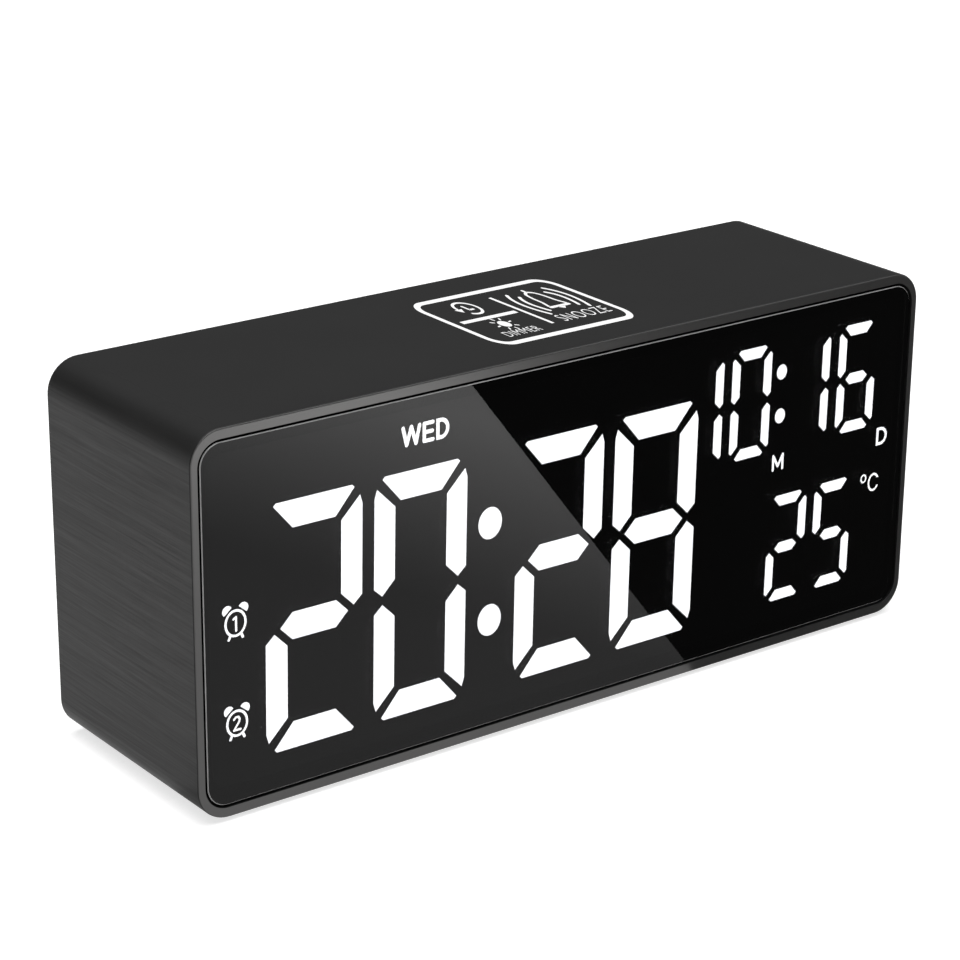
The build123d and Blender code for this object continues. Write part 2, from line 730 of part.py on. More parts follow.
with BuildPart() as quartz_crystal:
    with BuildSketch(Plane(origin=(-29, MAIN_FRONT - 1.0, CENTRE_Z - 5), x_dir=(1, 0, 0), z_dir=(0, 0, 1))):
        Circle(1.0)
    extrude(amount=6.0)
    fillet(quartz_crystal.edges(), 0.2)
save(quartz_crystal, "quartz_crystal")

with BuildPart() as capacitors:
    with BuildSketch(facing_front(MAIN_BACK)):
        with Locations((-14, -10), (-7, -10), (-10.5, -16.5)):
            Circle(2.5)
    extrude(amount=-7.0)
    fillet(capacitors.faces().sort_by(Axis.Y)[-1].edges(), 0.4)
save(capacitors, "capacitors")

with BuildPart() as buzzer:
    with BuildSketch(facing_front(MAIN_BACK)):
        with Locations((BUZZER_X, BUZZER_Z)):
            Circle(BUZZER_R)
    extrude(amount=-BUZZER_T)
    fillet(buzzer.faces().sort_by(Axis.Y)[-1].edges(), 0.5)
    with BuildSketch(facing_front(MAIN_BACK + BUZZER_T)):
        with Locations((BUZZER_X, BUZZER_Z)):
            Circle(1.0)
    extrude(amount=2.0, mode=Mode.SUBTRACT)
save(buzzer, "buzzer")

with BuildPart() as power_socket:
    with BuildSketch(facing_front(MAIN_BACK)):
        with Locations((SOCKET_X, SOCKET_Z)):
            Rectangle(SOCKET_BLOCK, SOCKET_BLOCK)
    extrude(amount=-(COVER_IN - 0.3 - MAIN_BACK))
    with BuildSketch(facing_front(COVER_IN - 0.3)):
        with Locations((SOCKET_X, SOCKET_Z)):
            Circle(SOCKET_R)
    extrude(amount=-(COVER_T + 0.1))
    with BuildSketch(facing_front(COVER_OUT - 0.2)):
        with Locations((SOCKET_X, SOCKET_Z)):
            Circle(SOCKET_BORE_R)
            Circle(SOCKET_PIN_R, mode=Mode.SUBTRACT)
    extrude(amount=SOCKET_DEPTH, mode=Mode.SUBTRACT)
save(power_socket, "power_socket")

with BuildPart() as thermistor:
    with BuildSketch(facing_front(MAIN_BACK)):
        with Locations((-46, -17)):
            Ellipse(1.6, 1.2)
    extrude(amount=-3.0)
save(thermistor, "thermistor")

with BuildPart() as tact_switches:
    with BuildSketch(facing_front(MAIN_BACK)):
        with Locations(*BUTTON_SPOTS):
            Rectangle(SWITCH_W, SWITCH_W)
    extrude(amount=-SWITCH_T)
    with BuildSketch(facing_front(MAIN_BACK + SWITCH_T)):
        with Locations(*BUTTON_SPOTS):
            Circle(PLUNGER_R + PLUNGER_FIT)
    extrude(amount=1.2, mode=Mode.SUBTRACT)
save(tact_switches, "tact_switches")

# ---------------------------------------------------------------- push buttons
FLANGE_TOP = COVER_IN - 0.2
FLANGE_T = 1.0
FLANGE_RIM = 1.0

for button_name, button_spot in zip(BUTTON_NAMES, BUTTON_SPOTS):
    with BuildPart() as plunger:
        with BuildSketch(facing_front(PLUNGER_TOP)):
            with Locations(button_spot):
                Circle(PLUNGER_R)
        extrude(amount=PLUNGER_TOP - MAIN_BACK - SWITCH_T + 0.7)
    save(plunger, f"{button_name}_plunger")

    with BuildPart() as cap:
        with BuildSketch(facing_front(BUTTON_OUT)):
            with Locations(button_spot):
                RectangleRounded(BUTTON_W, BUTTON_H, BUTTON_R)
        extrude(amount=BUTTON_OUT - FLANGE_TOP)
        fillet(cap.faces().sort_by(Axis.Y)[-1].edges(), 0.4)
        with BuildSketch(facing_front(FLANGE_TOP)):
            with Locations(button_spot):
                RectangleRounded(BUTTON_W + 2 * FLANGE_RIM, BUTTON_H + 2 * FLANGE_RIM, 2.0)
        extrude(amount=FLANGE_T)
        with BuildSketch(facing_front(FLANGE_TOP - FLANGE_T)):
            with Locations(button_spot):
                Circle(1.5)
        extrude(amount=FLANGE_TOP - FLANGE_T - PLUNGER_TOP)
    save(cap, f"{button_name}_button")

# ---------------------------------------------------------------- touch pad and wiring
TOP_INSIDE = FOOT_H + BODY_H - WALL
ELECTRODE_T = 0.3

with BuildPart() as touch_electrode:
    with BuildSketch(level(TOP_INSIDE)):
        with Locations((3.3, -1.0)):
            RectangleRounded(28.0, 22.0, 3.0)
    extrude(amount=-ELECTRODE_T)
save(touch_electrode, "touch_electrode")


def wire(name, points, bend, radius):
    """Round wire along straight runs joined by tangent arcs."""
    with BuildPart() as lead:
        with BuildLine() as route:
            FilletPolyline(*points, radius=bend)
        with BuildSketch(Plane(origin=route.line @ 0, z_dir=route.line % 0)):
            Circle(radius)
        sweep()
    save(lead, name)


wire(
    "touch_lead",
    [
        (-6.0, 2.0, TOP_INSIDE - ELECTRODE_T),
        (-6.0, 2.0, CENTRE_Z + 16.0),
        (-6.0, MAIN_FRONT, CENTRE_Z + 16.0),
    ],
    2.5,
    0.5,
)
for lead_name, lead_z in (("battery_lead_plus", 3.0), ("battery_lead_minus", -3.0)):
    wire(
        lead_name,
        [
            (30.0, BAY_FLOOR - BAY_WALL, CENTRE_Z + lead_z),
            (30.0, 2.0, CENTRE_Z + lead_z),
            (4.0, 2.0, CENTRE_Z + lead_z),
            (4.0, MAIN_FRONT, CENTRE_Z + lead_z),
        ],
        2.0,
        0.6,
    )

RIBBON_T = 0.9
RIBBON_W = 12.0
RIBBON_X = -18.0

with BuildPart() as ribbon_cable:
    with BuildSketch(Plane(origin=(RIBBON_X, 0, CENTRE_Z), x_dir=(0, 1, 0), z_dir=(1, 0, 0))):
        with BuildLine():
            FilletPolyline(
                (LED_BOARD_BACK, 9.0),
                (-5.0, 9.0),
                (-1.0, -9.0),
                (MAIN_FRONT, -9.0),
                radius=2.5,
            )
        trace(line_width=RIBBON_T)
    extrude(amount=RIBBON_W / 2, both=True)
save(ribbon_cable, "ribbon_cable")
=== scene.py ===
import logging
import math
from dataclasses import dataclass, field
from enum import Enum
from typing import Callable, Iterable, Optional, Sequence, Union

import bmesh
import bpy
import numpy as np
from mathutils import Matrix, Vector


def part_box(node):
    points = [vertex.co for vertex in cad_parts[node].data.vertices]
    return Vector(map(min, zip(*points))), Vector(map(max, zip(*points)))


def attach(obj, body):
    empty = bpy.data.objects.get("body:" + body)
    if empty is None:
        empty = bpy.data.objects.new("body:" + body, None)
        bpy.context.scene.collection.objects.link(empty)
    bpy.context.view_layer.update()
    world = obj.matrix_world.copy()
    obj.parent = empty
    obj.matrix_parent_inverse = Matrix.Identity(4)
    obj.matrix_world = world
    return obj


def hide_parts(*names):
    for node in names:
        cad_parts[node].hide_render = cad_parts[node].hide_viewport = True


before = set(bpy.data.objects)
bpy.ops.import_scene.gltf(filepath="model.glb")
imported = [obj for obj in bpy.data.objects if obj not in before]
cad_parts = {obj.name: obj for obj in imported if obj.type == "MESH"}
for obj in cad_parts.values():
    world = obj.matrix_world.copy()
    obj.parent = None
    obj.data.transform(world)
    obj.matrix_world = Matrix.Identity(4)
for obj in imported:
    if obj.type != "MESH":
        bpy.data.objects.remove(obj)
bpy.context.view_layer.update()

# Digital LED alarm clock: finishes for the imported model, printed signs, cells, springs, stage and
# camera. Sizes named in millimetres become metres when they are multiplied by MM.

log = logging.getLogger("alarm_clock")

MM = 0.001
ROOT_BODY = "clock"
LID_BODY = "battery_lid"
BUTTON_KEYS = ("set", "up", "down", "alarm1", "alarm2")

Point2 = tuple[float, float]
Point3 = tuple[float, float, float]
Colour = tuple[float, float, float, float]
Socket = bpy.types.NodeSocket
Feed = Union[Socket, float, Point3, Colour]

# The part of noise's range that most of its values lie in, for fine noise and for soft clouds.
NOISE_SPAN: Point2 = (0.3, 0.7)
CLOUD_SPAN: Point2 = (0.2, 0.8)


def grey(level: float, warmth: float = 0.0) -> Colour:
    """Neutral colour at a linear level, a little warmer where warmth is above nought."""
    return (level * (1.0 + warmth), level, level * (1.0 - warmth), 1.0)


def scaled(colour: Colour, share: float) -> Colour:
    """Colour with its three channels multiplied by a share, none of them above one."""
    return tuple(min(1.0, channel * share) for channel in colour[:3]) + (1.0,)


def node_box(name: str) -> tuple[np.ndarray, np.ndarray]:
    """Lowest and highest corner of one CAD node, as arrays in metres."""
    low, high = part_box(name)
    return np.array(low), np.array(high)


# ------------------------------------------------------------------------------------------------
# Surfaces worked out as whole arrays
# ------------------------------------------------------------------------------------------------
@dataclass
class Solid:
    """Vertices and faces of one closed shell.

    Attributes:
        points: Array of vertex positions, one row each, in metres.
        faces: Vertex numbers of each face.
    """

    points: np.ndarray
    faces: list[tuple[int, ...]]


def grid_quads(rows: int, columns: int, rows_closed: bool) -> np.ndarray:
    """Quads of a grid whose columns close on themselves.

    Quad (i, j) joins points (i, j), (i, j + 1), (i + 1, j + 1) and (i + 1, j), with j taken round
    the section and i along the path, and i + 1 taken round too where the path is closed.

    Args:
        rows: Number of sections along the path.
        columns: Number of points round each section.
        rows_closed: Whether the last section joins the first.

    Returns:
        Array of four vertex numbers per quad.
    """
    last = rows if rows_closed else rows - 1
    i, j = np.meshgrid(np.arange(last), np.arange(columns), indexing="ij")
    here, ahead = i * columns, (i + 1) % rows * columns
    after_j = (j + 1) % columns
    corners = [here + j, here + after_j, ahead + after_j, ahead + j]
    return np.stack(corners, axis=-1).reshape(-1, 4)


def swept_solid(sections: np.ndarray, closed: bool = False) -> Solid:
    """Closed shell through a row of equal sections, its two ends shut by flat faces.

    Args:
        sections: Array of shape (rows, columns, 3).
        closed: Whether the path is a loop, which needs no end faces.

    Returns:
        The shell.
    """
    rows, columns, _ = sections.shape
    faces = [tuple(quad) for quad in grid_quads(rows, columns, closed).tolist()]
    if not closed:
        first = list(range(columns))
        last = [(rows - 1) * columns + j for j in range(columns)]
        faces += [tuple(reversed(first)), tuple(last)]
    return Solid(sections.reshape(-1, 3), faces)


def lathe(profile: np.ndarray, centre: Point3, direction: float, turns: int = 48) -> Solid:
    """Round solid about an axis along X.

    A profile point (x, r) goes to centre + (direction x, r cos a, r sin a) as a runs through a
    full turn.

    Args:
        profile: Rows of (distance along the axis, radius), both ends above nought.
        centre: Where the axis starts.
        direction: +1 or -1, the way along X in which the profile runs.
        turns: Number of steps round the axis.

    Returns:
        The shell, shut by a flat face at each end.
    """
    angle = np.linspace(0.0, 2.0 * np.pi, turns, endpoint=False)
    along = np.repeat(profile[:, :1] * direction, turns, axis=1)
    sections = np.stack(
        [along, profile[:, 1:] * np.cos(angle), profile[:, 1:] * np.sin(angle)], axis=-1
    )
    return swept_solid(sections + np.array(centre))


def tube(path: np.ndarray, radius: float, sides: int = 10) -> Solid:
    """Round wire along a path.

    At each point the section is the path point plus radius (n cos a + b sin a), where n and b are
    two unit vectors square to the tangent, n being the one nearest the X axis.

    Args:
        path: Rows of points in metres.
        radius: Wire radius in metres.
        sides: Number of points round the wire.

    Returns:
        The shell.
    """
    tangent = np.gradient(path, axis=0)
    tangent /= np.linalg.norm(tangent, axis=1, keepdims=True)
    guide = np.array([1.0, 0.0, 0.0])
    normal = guide - tangent * (tangent @ guide)[:, None]
    normal /= np.linalg.norm(normal, axis=1, keepdims=True)
    side = np.cross(tangent, normal)
    angle = np.linspace(0.0, 2.0 * np.pi, sides, endpoint=False)[None, :, None]
    ring = normal[:, None] * np.cos(angle) + side[:, None] * np.sin(angle)
    return swept_solid(path[:, None] + radius * ring)


def block(low: Sequence[float], high: Sequence[float]) -> Solid:
    """Plain block: the rectangle from low to high in Y and Z, carried from low to high in X.

    Args:
        low: Lowest corner in metres.
        high: Highest corner in metres.

    Returns:
        The shell.
    """
    (x0, y0, z0), (x1, y1, z1) = low, high
    ring = [(y0, z0), (y1, z0), (y1, z1), (y0, z1)]
    return swept_solid(np.array([[(x, y, z) for y, z in ring] for x in (x0, x1)]))


def join_solids(solids: Iterable[Solid]) -> Solid:
    """Put several shells into one set of vertices and faces.

    Args:
        solids: The shells, in the order in which their faces are kept.

    Returns:
        All their vertices, and their faces with the vertex numbers moved on.
    """
    points: list[np.ndarray] = []
    faces: list[tuple[int, ...]] = []
    start = 0
    for solid in solids:
        points.append(solid.points)
        faces += [tuple(number + start for number in face) for face in solid.faces]
        start += len(solid.points)
    return Solid(np.concatenate(points), faces)


def make_piece(
    name: str,
    solids: Sequence[tuple[Solid, bpy.types.Material]],
    body: str,
    smooth_angle: float = 35.0,
) -> bpy.types.Object:
    """Put shells into one mesh object that rides on a body.

    Args:
        name: Name of the piece.
        solids: Each shell with its material.
        body: CAD body that the piece moves with.
        smooth_angle: Edges sharper than this many degrees stay sharp.

    Returns:
        The new object.
    """
    mesh = bpy.data.meshes.new(name)
    whole = join_solids(solid for solid, _ in solids)
    mesh.from_pydata(whole.points.tolist(), [], whole.faces)
    materials: list[bpy.types.Material] = []
    numbers: list[int] = []
    for solid, material in solids:
        if material not in materials:
            materials.append(material)
            mesh.materials.append(material)
        numbers += [materials.index(material)] * len(solid.faces)
    mesh.polygons.foreach_set("material_index", np.array(numbers, dtype=np.int32))
    work = bmesh.new()
    work.from_mesh(mesh)
    bmesh.ops.recalc_face_normals(work, faces=work.faces)
    work.to_mesh(mesh)
    work.free()
    mesh.shade_smooth()
    mesh.set_sharp_from_angle(angle=math.radians(smooth_angle))
    mesh.update()
    piece = bpy.data.objects.new(name, mesh)
    bpy.context.scene.collection.objects.link(piece)
    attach(piece, body)
    log.info("%s: %d faces on %s", name, len(mesh.polygons), body)
    return piece


# ------------------------------------------------------------------------------------------------
# Shader building
# ------------------------------------------------------------------------------------------------
class Painter:
    """Builds the nodes of one material or node group in a few words."""

    def __init__(self, tree: bpy.types.NodeTree) -> None:
        """Keep the node tree that the calls below add to."""
        self.tree = tree

    def add(self, kind: str, inputs: Optional[dict] = None, **settings: object) -> bpy.types.Node:
        """Add a node.

        Args:
            kind: Node type without its ShaderNode prefix.
            inputs: Input name or number to a value or to an output socket.
            **settings: Attributes of the node.

        Returns:
            The node.
        """
        node = self.tree.nodes.new("ShaderNode" + kind)
        for key, value in settings.items():
            setattr(node, key, value)
        self.fill(node, inputs or {})
        return node

    def feed(self, target: Socket, value: Feed) -> None:
        """Link an input socket to an output, or set its value.

        Args:
            target: The input socket.
            value: Output socket or plain value.
        """
        if isinstance(value, bpy.types.NodeSocket):
            self.tree.links.new(value, target)
        else:
            target.default_value = value

    def fill(self, node: bpy.types.Node, inputs: dict) -> None:
        """Link or set several inputs of a node, each by its name or number."""
        for key, value in inputs.items():
            self.feed(node.inputs[key], value)

    def coords(self) -> Socket:
        """Object coordinates in metres."""
        return self.add("TexCoord").outputs["Object"]

    def axes(self, vector: Socket) -> tuple[Socket, Socket, Socket]:
        """The three parts of a vector."""
        split = self.add("SeparateXYZ", {0: vector})
        return split.outputs[0], split.outputs[1], split.outputs[2]

    def times(self, vector: Socket, scale: Point3) -> Socket:
        """Vector with each of its parts multiplied by its own number."""
        return self.add("VectorMath", {0: vector, 1: scale}, operation="MULTIPLY").outputs[0]

    def noise(
        self, vector: Socket, scale: Feed, detail: float = 3.0, rough: float = 0.55
    ) -> Socket:
        """Noise value from 0 to 1."""
        inputs = {"Vector": vector, "Scale": scale, "Detail": detail, "Roughness": rough}
        return self.add("TexNoise", inputs).outputs[0]

    def dots(self, vector: Socket, scale: Feed, random: float = 1.0) -> Socket:
        """Distance from the nearest of many dots, in their own scale."""
        inputs = {"Vector": vector, "Scale": scale, "Randomness": random}
        return self.add("TexVoronoi", inputs).outputs["Distance"]

    def math(self, operation: str, a: Feed, b: Feed = 0.0) -> Socket:
        """One sum on one or two values."""
        return self.add("Math", {0: a, 1: b}, operation=operation).outputs[0]

    def band(self, value: Socket, span: Point2, to: Point2 = (0.0, 1.0)) -> Socket:
        """Carry a value from one range into another, and hold it there.

        Args:
            value: The value.
            span: Lowest and highest value that is carried.
            to: What those two become.

        Returns:
            The carried value.
        """
        inputs = {"Value": value, "From Min": span[0], "From Max": span[1]}
        return self.add("MapRange", inputs | {"To Min": to[0], "To Max": to[1]}).outputs[0]

    def mix(self, share: Feed, a: Feed, b: Feed) -> Socket:
        """Colour between a and b."""
        return self.add("Mix", {0: share, 6: a, 7: b}, data_type="RGBA").outputs[2]

    def between(self, share: Socket, a: Feed, b: Feed) -> Socket:
        """Value a + share (b - a)."""
        return self.math("ADD", self.math("MULTIPLY", share, self.math("SUBTRACT", b, a)), a)

    def bump(self, height: Socket, depth: float, strength: float = 1.0) -> Socket:
        """Normal from a height map whose full range is depth metres."""
        inputs = {"Height": height, "Distance": depth, "Strength": strength}
        return self.add("Bump", inputs).outputs[0]


def draw_grain(paint: Painter, given: bpy.types.NodeOutputs) -> tuple[Socket, Socket]:
    """Height from small cells, and a mask that drifts slowly."""
    drift = paint.noise(given["Vector"], 90.0)
    return paint.dots(given["Vector"], given["Size"]), paint.band(drift, NOISE_SPAN)


def draw_brush(paint: Painter, given: bpy.types.NodeOutputs) -> tuple[Socket, Socket]:
    """Fine lines across Z, and broader ones as the mask.

    Both are noise on the vector (Stretch x, Stretch y, Fineness z), which is drawn out into lines
    because Fineness is much the larger.

    Args:
        paint: Builder of the group's nodes.
        given: Outputs of the group's input node.

    Returns:
        Height and mask.
    """
    x, y, z = paint.axes(given["Vector"])
    across = paint.math("MULTIPLY", z, given["Fineness"])
    along, depth = (paint.math("MULTIPLY", part, given["Stretch"]) for part in (y, x))
    lines = paint.add("CombineXYZ", {0: depth, 1: along, 2: across}).outputs[0]
    fine = paint.noise(lines, 1.0, detail=4.0, rough=0.7)
    broad = paint.noise(paint.times(lines, (0.3, 0.3, 0.12)), 1.0)
    return fine, paint.band(broad, NOISE_SPAN)


def draw_mottle(paint: Painter, given: bpy.types.NodeOutputs) -> tuple[Socket, Socket]:
    """Soft clouds as the height, and the same with more contrast as the mask."""
    cloud = paint.noise(given["Vector"], given["Size"], detail=5.0, rough=0.6)
    return cloud, paint.band(cloud, (0.35, 0.65))


class Effect(Enum):
    """Effects that several finishes share, each a node group made once."""

    GRAIN = "moulded_grain"
    BRUSH = "brushed_lines"
    MOTTLE = "soft_mottle"


@dataclass(frozen=True)
class Recipe:
    """How a shared effect is made.

    Attributes:
        sizes: Its own inputs, each with its usual value.
        draw: What adds its nodes and hands back height and mask.
    """

    sizes: dict[str, float]
    draw: Callable[[Painter, bpy.types.NodeOutputs], tuple[Socket, Socket]]


RECIPES: dict[Effect, Recipe] = {
    Effect.GRAIN: Recipe({"Size": 2600.0}, draw_grain),
    Effect.BRUSH: Recipe({"Fineness": 2900.0, "Stretch": 45.0}, draw_brush),
    Effect.MOTTLE: Recipe({"Size": 60.0}, draw_mottle),
}


def effect_group(effect: Effect) -> bpy.types.NodeTree:
    """The node group of one effect, made the first time it is asked for.

    Each group takes a Vector in metres and its own sizes, and puts out Height and Mask, both from
    0 to 1.

    Args:
        effect: Which effect.

    Returns:
        The node group.
    """
    found = bpy.data.node_groups.get(effect.value)
    if found:
        return found
    recipe = RECIPES[effect]
    group = bpy.data.node_groups.new(effect.value, "ShaderNodeTree")
    face = group.interface
    face.new_socket("Vector", in_out="INPUT", socket_type="NodeSocketVector")
    for name, value in recipe.sizes.items():
        socket = face.new_socket(name, in_out="INPUT", socket_type="NodeSocketFloat")
        socket.default_value = value
    for name in ("Height", "Mask"):
        face.new_socket(name, in_out="OUTPUT", socket_type="NodeSocketFloat")
    paint = Painter(group)
    given = group.nodes.new("NodeGroupInput").outputs
    height, mask = recipe.draw(paint, given)
    paint.fill(group.nodes.new("NodeGroupOutput"), {"Height": height, "Mask": mask})
    return group


# ------------------------------------------------------------------------------------------------
# Finishes
# ------------------------------------------------------------------------------------------------
@dataclass(frozen=True)
class Finish:
    """A finish with a name; each kind below paints its own nodes.

    Attributes:
        name: Name of its material.
    """

    name: str

    def material(self) -> bpy.types.Material:
        """The Blender material of this finish, made once.

        Returns:
            The material.
        """
        found = bpy.data.materials.get(self.name)
        if found:
            return found
        made = bpy.data.materials.new(self.name)
        made.use_nodes = True
        paint = Painter(made.node_tree)
        shader = made.node_tree.nodes["Principled BSDF"]
        paint.fill(shader, self.paint(paint))
        return made

    def paint(self, paint: Painter) -> dict[str, Feed]:
        """What goes into the shader's sockets; each finish has its own."""
        raise NotImplementedError

    def effect(self, paint: Painter, effect: Effect, **sizes: float) -> tuple[Socket, Socket]:
        """Place a shared effect in this finish with its own sizes.

        Args:
            paint: Builder of this finish's nodes.
            effect: Which effect.
            **sizes: The effect's own inputs.

        Returns:
            Its height and its mask.
        """
        node = paint.add("Group", node_tree=effect_group(effect))
        paint.fill(node, {"Vector": paint.coords()} | sizes)
        return node.outputs["Height"], node.outputs["Mask"]

    def drift(
        self, paint: Painter, colour: Colour, size: float, shares: Point2
    ) -> tuple[Socket, Socket]:
        """Tone that drifts in soft patches.

        Args:
            paint: Builder of this finish's nodes.
            colour: The tone.
            size: How many patches there are to a metre.
            shares: Share of the colour in the darkest and in the lightest patches.

        Returns:
            The colour, and the patches' height from 0 to 1.
        """
        height, mask = self.effect(paint, Effect.MOTTLE, Size=size)
        return paint.mix(mask, scaled(colour, shares[0]), scaled(colour, shares[1])), height


@dataclass(frozen=True)
class ShellFinish(Finish):
    """Housing: satin dark top, lightly brushed ends and a brighter front rim.

    Attributes:
        top: Tone of the satin faces.
        side: Tone of the brushed ends.
        rim: Tone of the front rim.
        rim_back: How far back the rim reaches, on the Y axis in metres.
        satin_rough: Least and greatest roughness of the satin faces.
        side_rough: Least and greatest roughness of the ends.
        rim_rough: Roughness of the rim.
        rim_metal: How metallic the rim is.
        rim_facing: Forward part of the normal where the rim starts and where it is full.
        side_facing: The same for the sideways part and the ends.
        streaks: Shares of the ends' tone in their dark, pale and palest lines.
        relief: Depth of the brushed lines in millimetres.
    """

    top: float = 0.016
    side: float = 0.0068
    rim: float = 0.158
    rim_back: float = 0.0
    satin_rough: Point2 = (0.36, 0.42)
    side_rough: Point2 = (0.42, 0.6)
    rim_rough: float = 0.3
    rim_metal: float = 0.9
    rim_facing: Point2 = (0.55, 0.95)
    side_facing: Point2 = (0.55, 0.9)
    streaks: Point3 = (0.6, 1.4, 2.2)
    relief: float = 0.004

    def zones(self, paint: Painter) -> tuple[Socket, Socket]:
        """Tell the rim and the ends from the rest, by which way a point faces.

        Args:
            paint: Builder of this finish's nodes.

        Returns:
            A mask of the rim's front and a mask of the ends.
        """
        _, y, _ = paint.axes(paint.coords())
        facing_x, facing_y, _ = paint.axes(paint.add("TexCoord").outputs["Normal"])
        forward = paint.band(paint.math("MULTIPLY", facing_y, -1.0), self.rim_facing)
        near_front = paint.band(y, (self.rim_back, self.rim_back + 0.1 * MM), (1.0, 0.0))
        sideways = paint.band(paint.math("ABSOLUTE", facing_x), self.side_facing)
        return paint.math("MULTIPLY", forward, near_front), sideways

    def paint(self, paint: Painter) -> dict[str, Feed]:
        """Mix the three zones.

        Args:
            paint: Builder of this finish's nodes.

        Returns:
            What goes into the shader's sockets.
        """
        on_rim, on_side = self.zones(paint)
        lines, streaks = self.effect(paint, Effect.BRUSH)
        grain, _ = self.effect(paint, Effect.GRAIN, Size=4200.0)
        satin, cloud = self.drift(paint, grey(self.top), 45.0, (0.97, 1.04))
        dark, pale, palest = (scaled(grey(self.side, 0.02), share) for share in self.streaks)
        brushed = paint.mix(streaks, dark, pale)
        streaked = paint.mix(paint.math("MULTIPLY", lines, 0.5), brushed, palest)
        satin_rough = paint.band(cloud, CLOUD_SPAN, self.satin_rough)
        side_rough = paint.band(lines, NOISE_SPAN, self.side_rough)
        shell_rough = paint.between(on_side, satin_rough, side_rough)
        ridges = paint.math("MULTIPLY", paint.math("MULTIPLY", lines, on_side), 2.0)
        height = paint.math("ADD", ridges, paint.math("MULTIPLY", grain, 0.25))
        shell = paint.mix(on_side, satin, streaked)
        return {
            "Base Color": paint.mix(on_rim, shell, grey(self.rim, 0.01)),
            "Roughness": paint.between(on_rim, shell_rough, self.rim_rough),
            "Metallic": paint.math("MULTIPLY", on_rim, self.rim_metal),
            "IOR": 1.46,
            "Specular IOR Level": 0.25,
            "Normal": paint.bump(height, self.relief * MM, 0.6),
        }


@dataclass(frozen=True)
class SmokedAcrylic(Finish):
    """Front lens: clear dark acrylic with a polished face.

    Attributes:
        tint: How much light passes a face.
    """

    tint: float = 0.06

    def paint(self, paint: Painter) -> dict[str, Feed]:
        """Glass with a grey tint and the faintest change of tone."""
        colour, _ = self.drift(paint, grey(self.tint), 30.0, (0.98, 1.02))
        return {"Base Color": colour, "Transmission Weight": 1.0, "Roughness": 0.0, "IOR": 1.44}


@dataclass(frozen=True)
class GlowFinish(Finish):
    """Lit window: a white diffuser with light behind it.

    Attributes:
        strength: Strength of its light.
        cool: Colour of its bluer patches.
    """

    strength: float = 22.0
    cool: Colour = (0.93, 0.95, 1.0, 1.0)

    def paint(self, paint: Painter) -> dict[str, Feed]:
        """White light, a trace brighter in soft patches as a diffuser shows it.

        Args:
            paint: Builder of this finish's nodes.

        Returns:
            What goes into the shader's sockets.
        """
        _, mask = self.effect(paint, Effect.MOTTLE, Size=260.0)
        glow = paint.mix(mask, self.cool, grey(1.0))
        return {
            "Base Color": glow,
            "Emission Color": glow,
            "Emission Strength": self.strength,
            "Roughness": 0.5,
        }


@dataclass(frozen=True)
class MouldedPlastic(Finish):
    """Moulded plastic with a fine spark texture and slight tone changes.

    Attributes:
        colour: Its colour.
        rough: Its middling roughness.
        grain_size: How many grains there are to a metre.
        grain_depth: Depth of the grain in millimetres.
    """

    colour: Colour = grey(0.02)
    rough: float = 0.5
    grain_size: float = 2600.0
    grain_depth: float = 0.012

    def paint(self, paint: Painter) -> dict[str, Feed]:
        """Tone and roughness drift slowly; the spark texture is in the bump.

        Args:
            paint: Builder of this finish's nodes.

        Returns:
            What goes into the shader's sockets.
        """
        grain, _ = self.effect(paint, Effect.GRAIN, Size=self.grain_size)
        tone, _ = self.drift(paint, self.colour, 70.0, (0.9, 1.12))
        return {
            "Base Color": tone,
            "Roughness": paint.band(grain, (0.0, 0.8), (self.rough - 0.05, self.rough + 0.08)),
            "Normal": paint.bump(grain, self.grain_depth * MM, 0.5),
        }


@dataclass(frozen=True)
class MetalFinish(Finish):
    """Bare or plated metal with fine turning or drawing marks.

    Attributes:
        colour: Its colour.
        rough: Its middling roughness.
        dull: Share of the colour between the marks.
    """

    colour: Colour = grey(0.7)
    rough: float = 0.28
    dull: float = 0.82

    def paint(self, paint: Painter) -> dict[str, Feed]:
        """Metal whose roughness and tone follow fine lines.

        Args:
            paint: Builder of this finish's nodes.

        Returns:
            What goes into the shader's sockets.
        """
        marks, mask = self.effect(paint, Effect.BRUSH, Fineness=9000.0, Stretch=400.0)
        return {
            "Base Color": paint.mix(mask, scaled(self.colour, self.dull), self.colour),
            "Roughness": paint.band(marks, NOISE_SPAN, (self.rough - 0.06, self.rough + 0.1)),
            "Metallic": 1.0,
            "Normal": paint.bump(marks, 0.003 * MM, 0.4),
        }


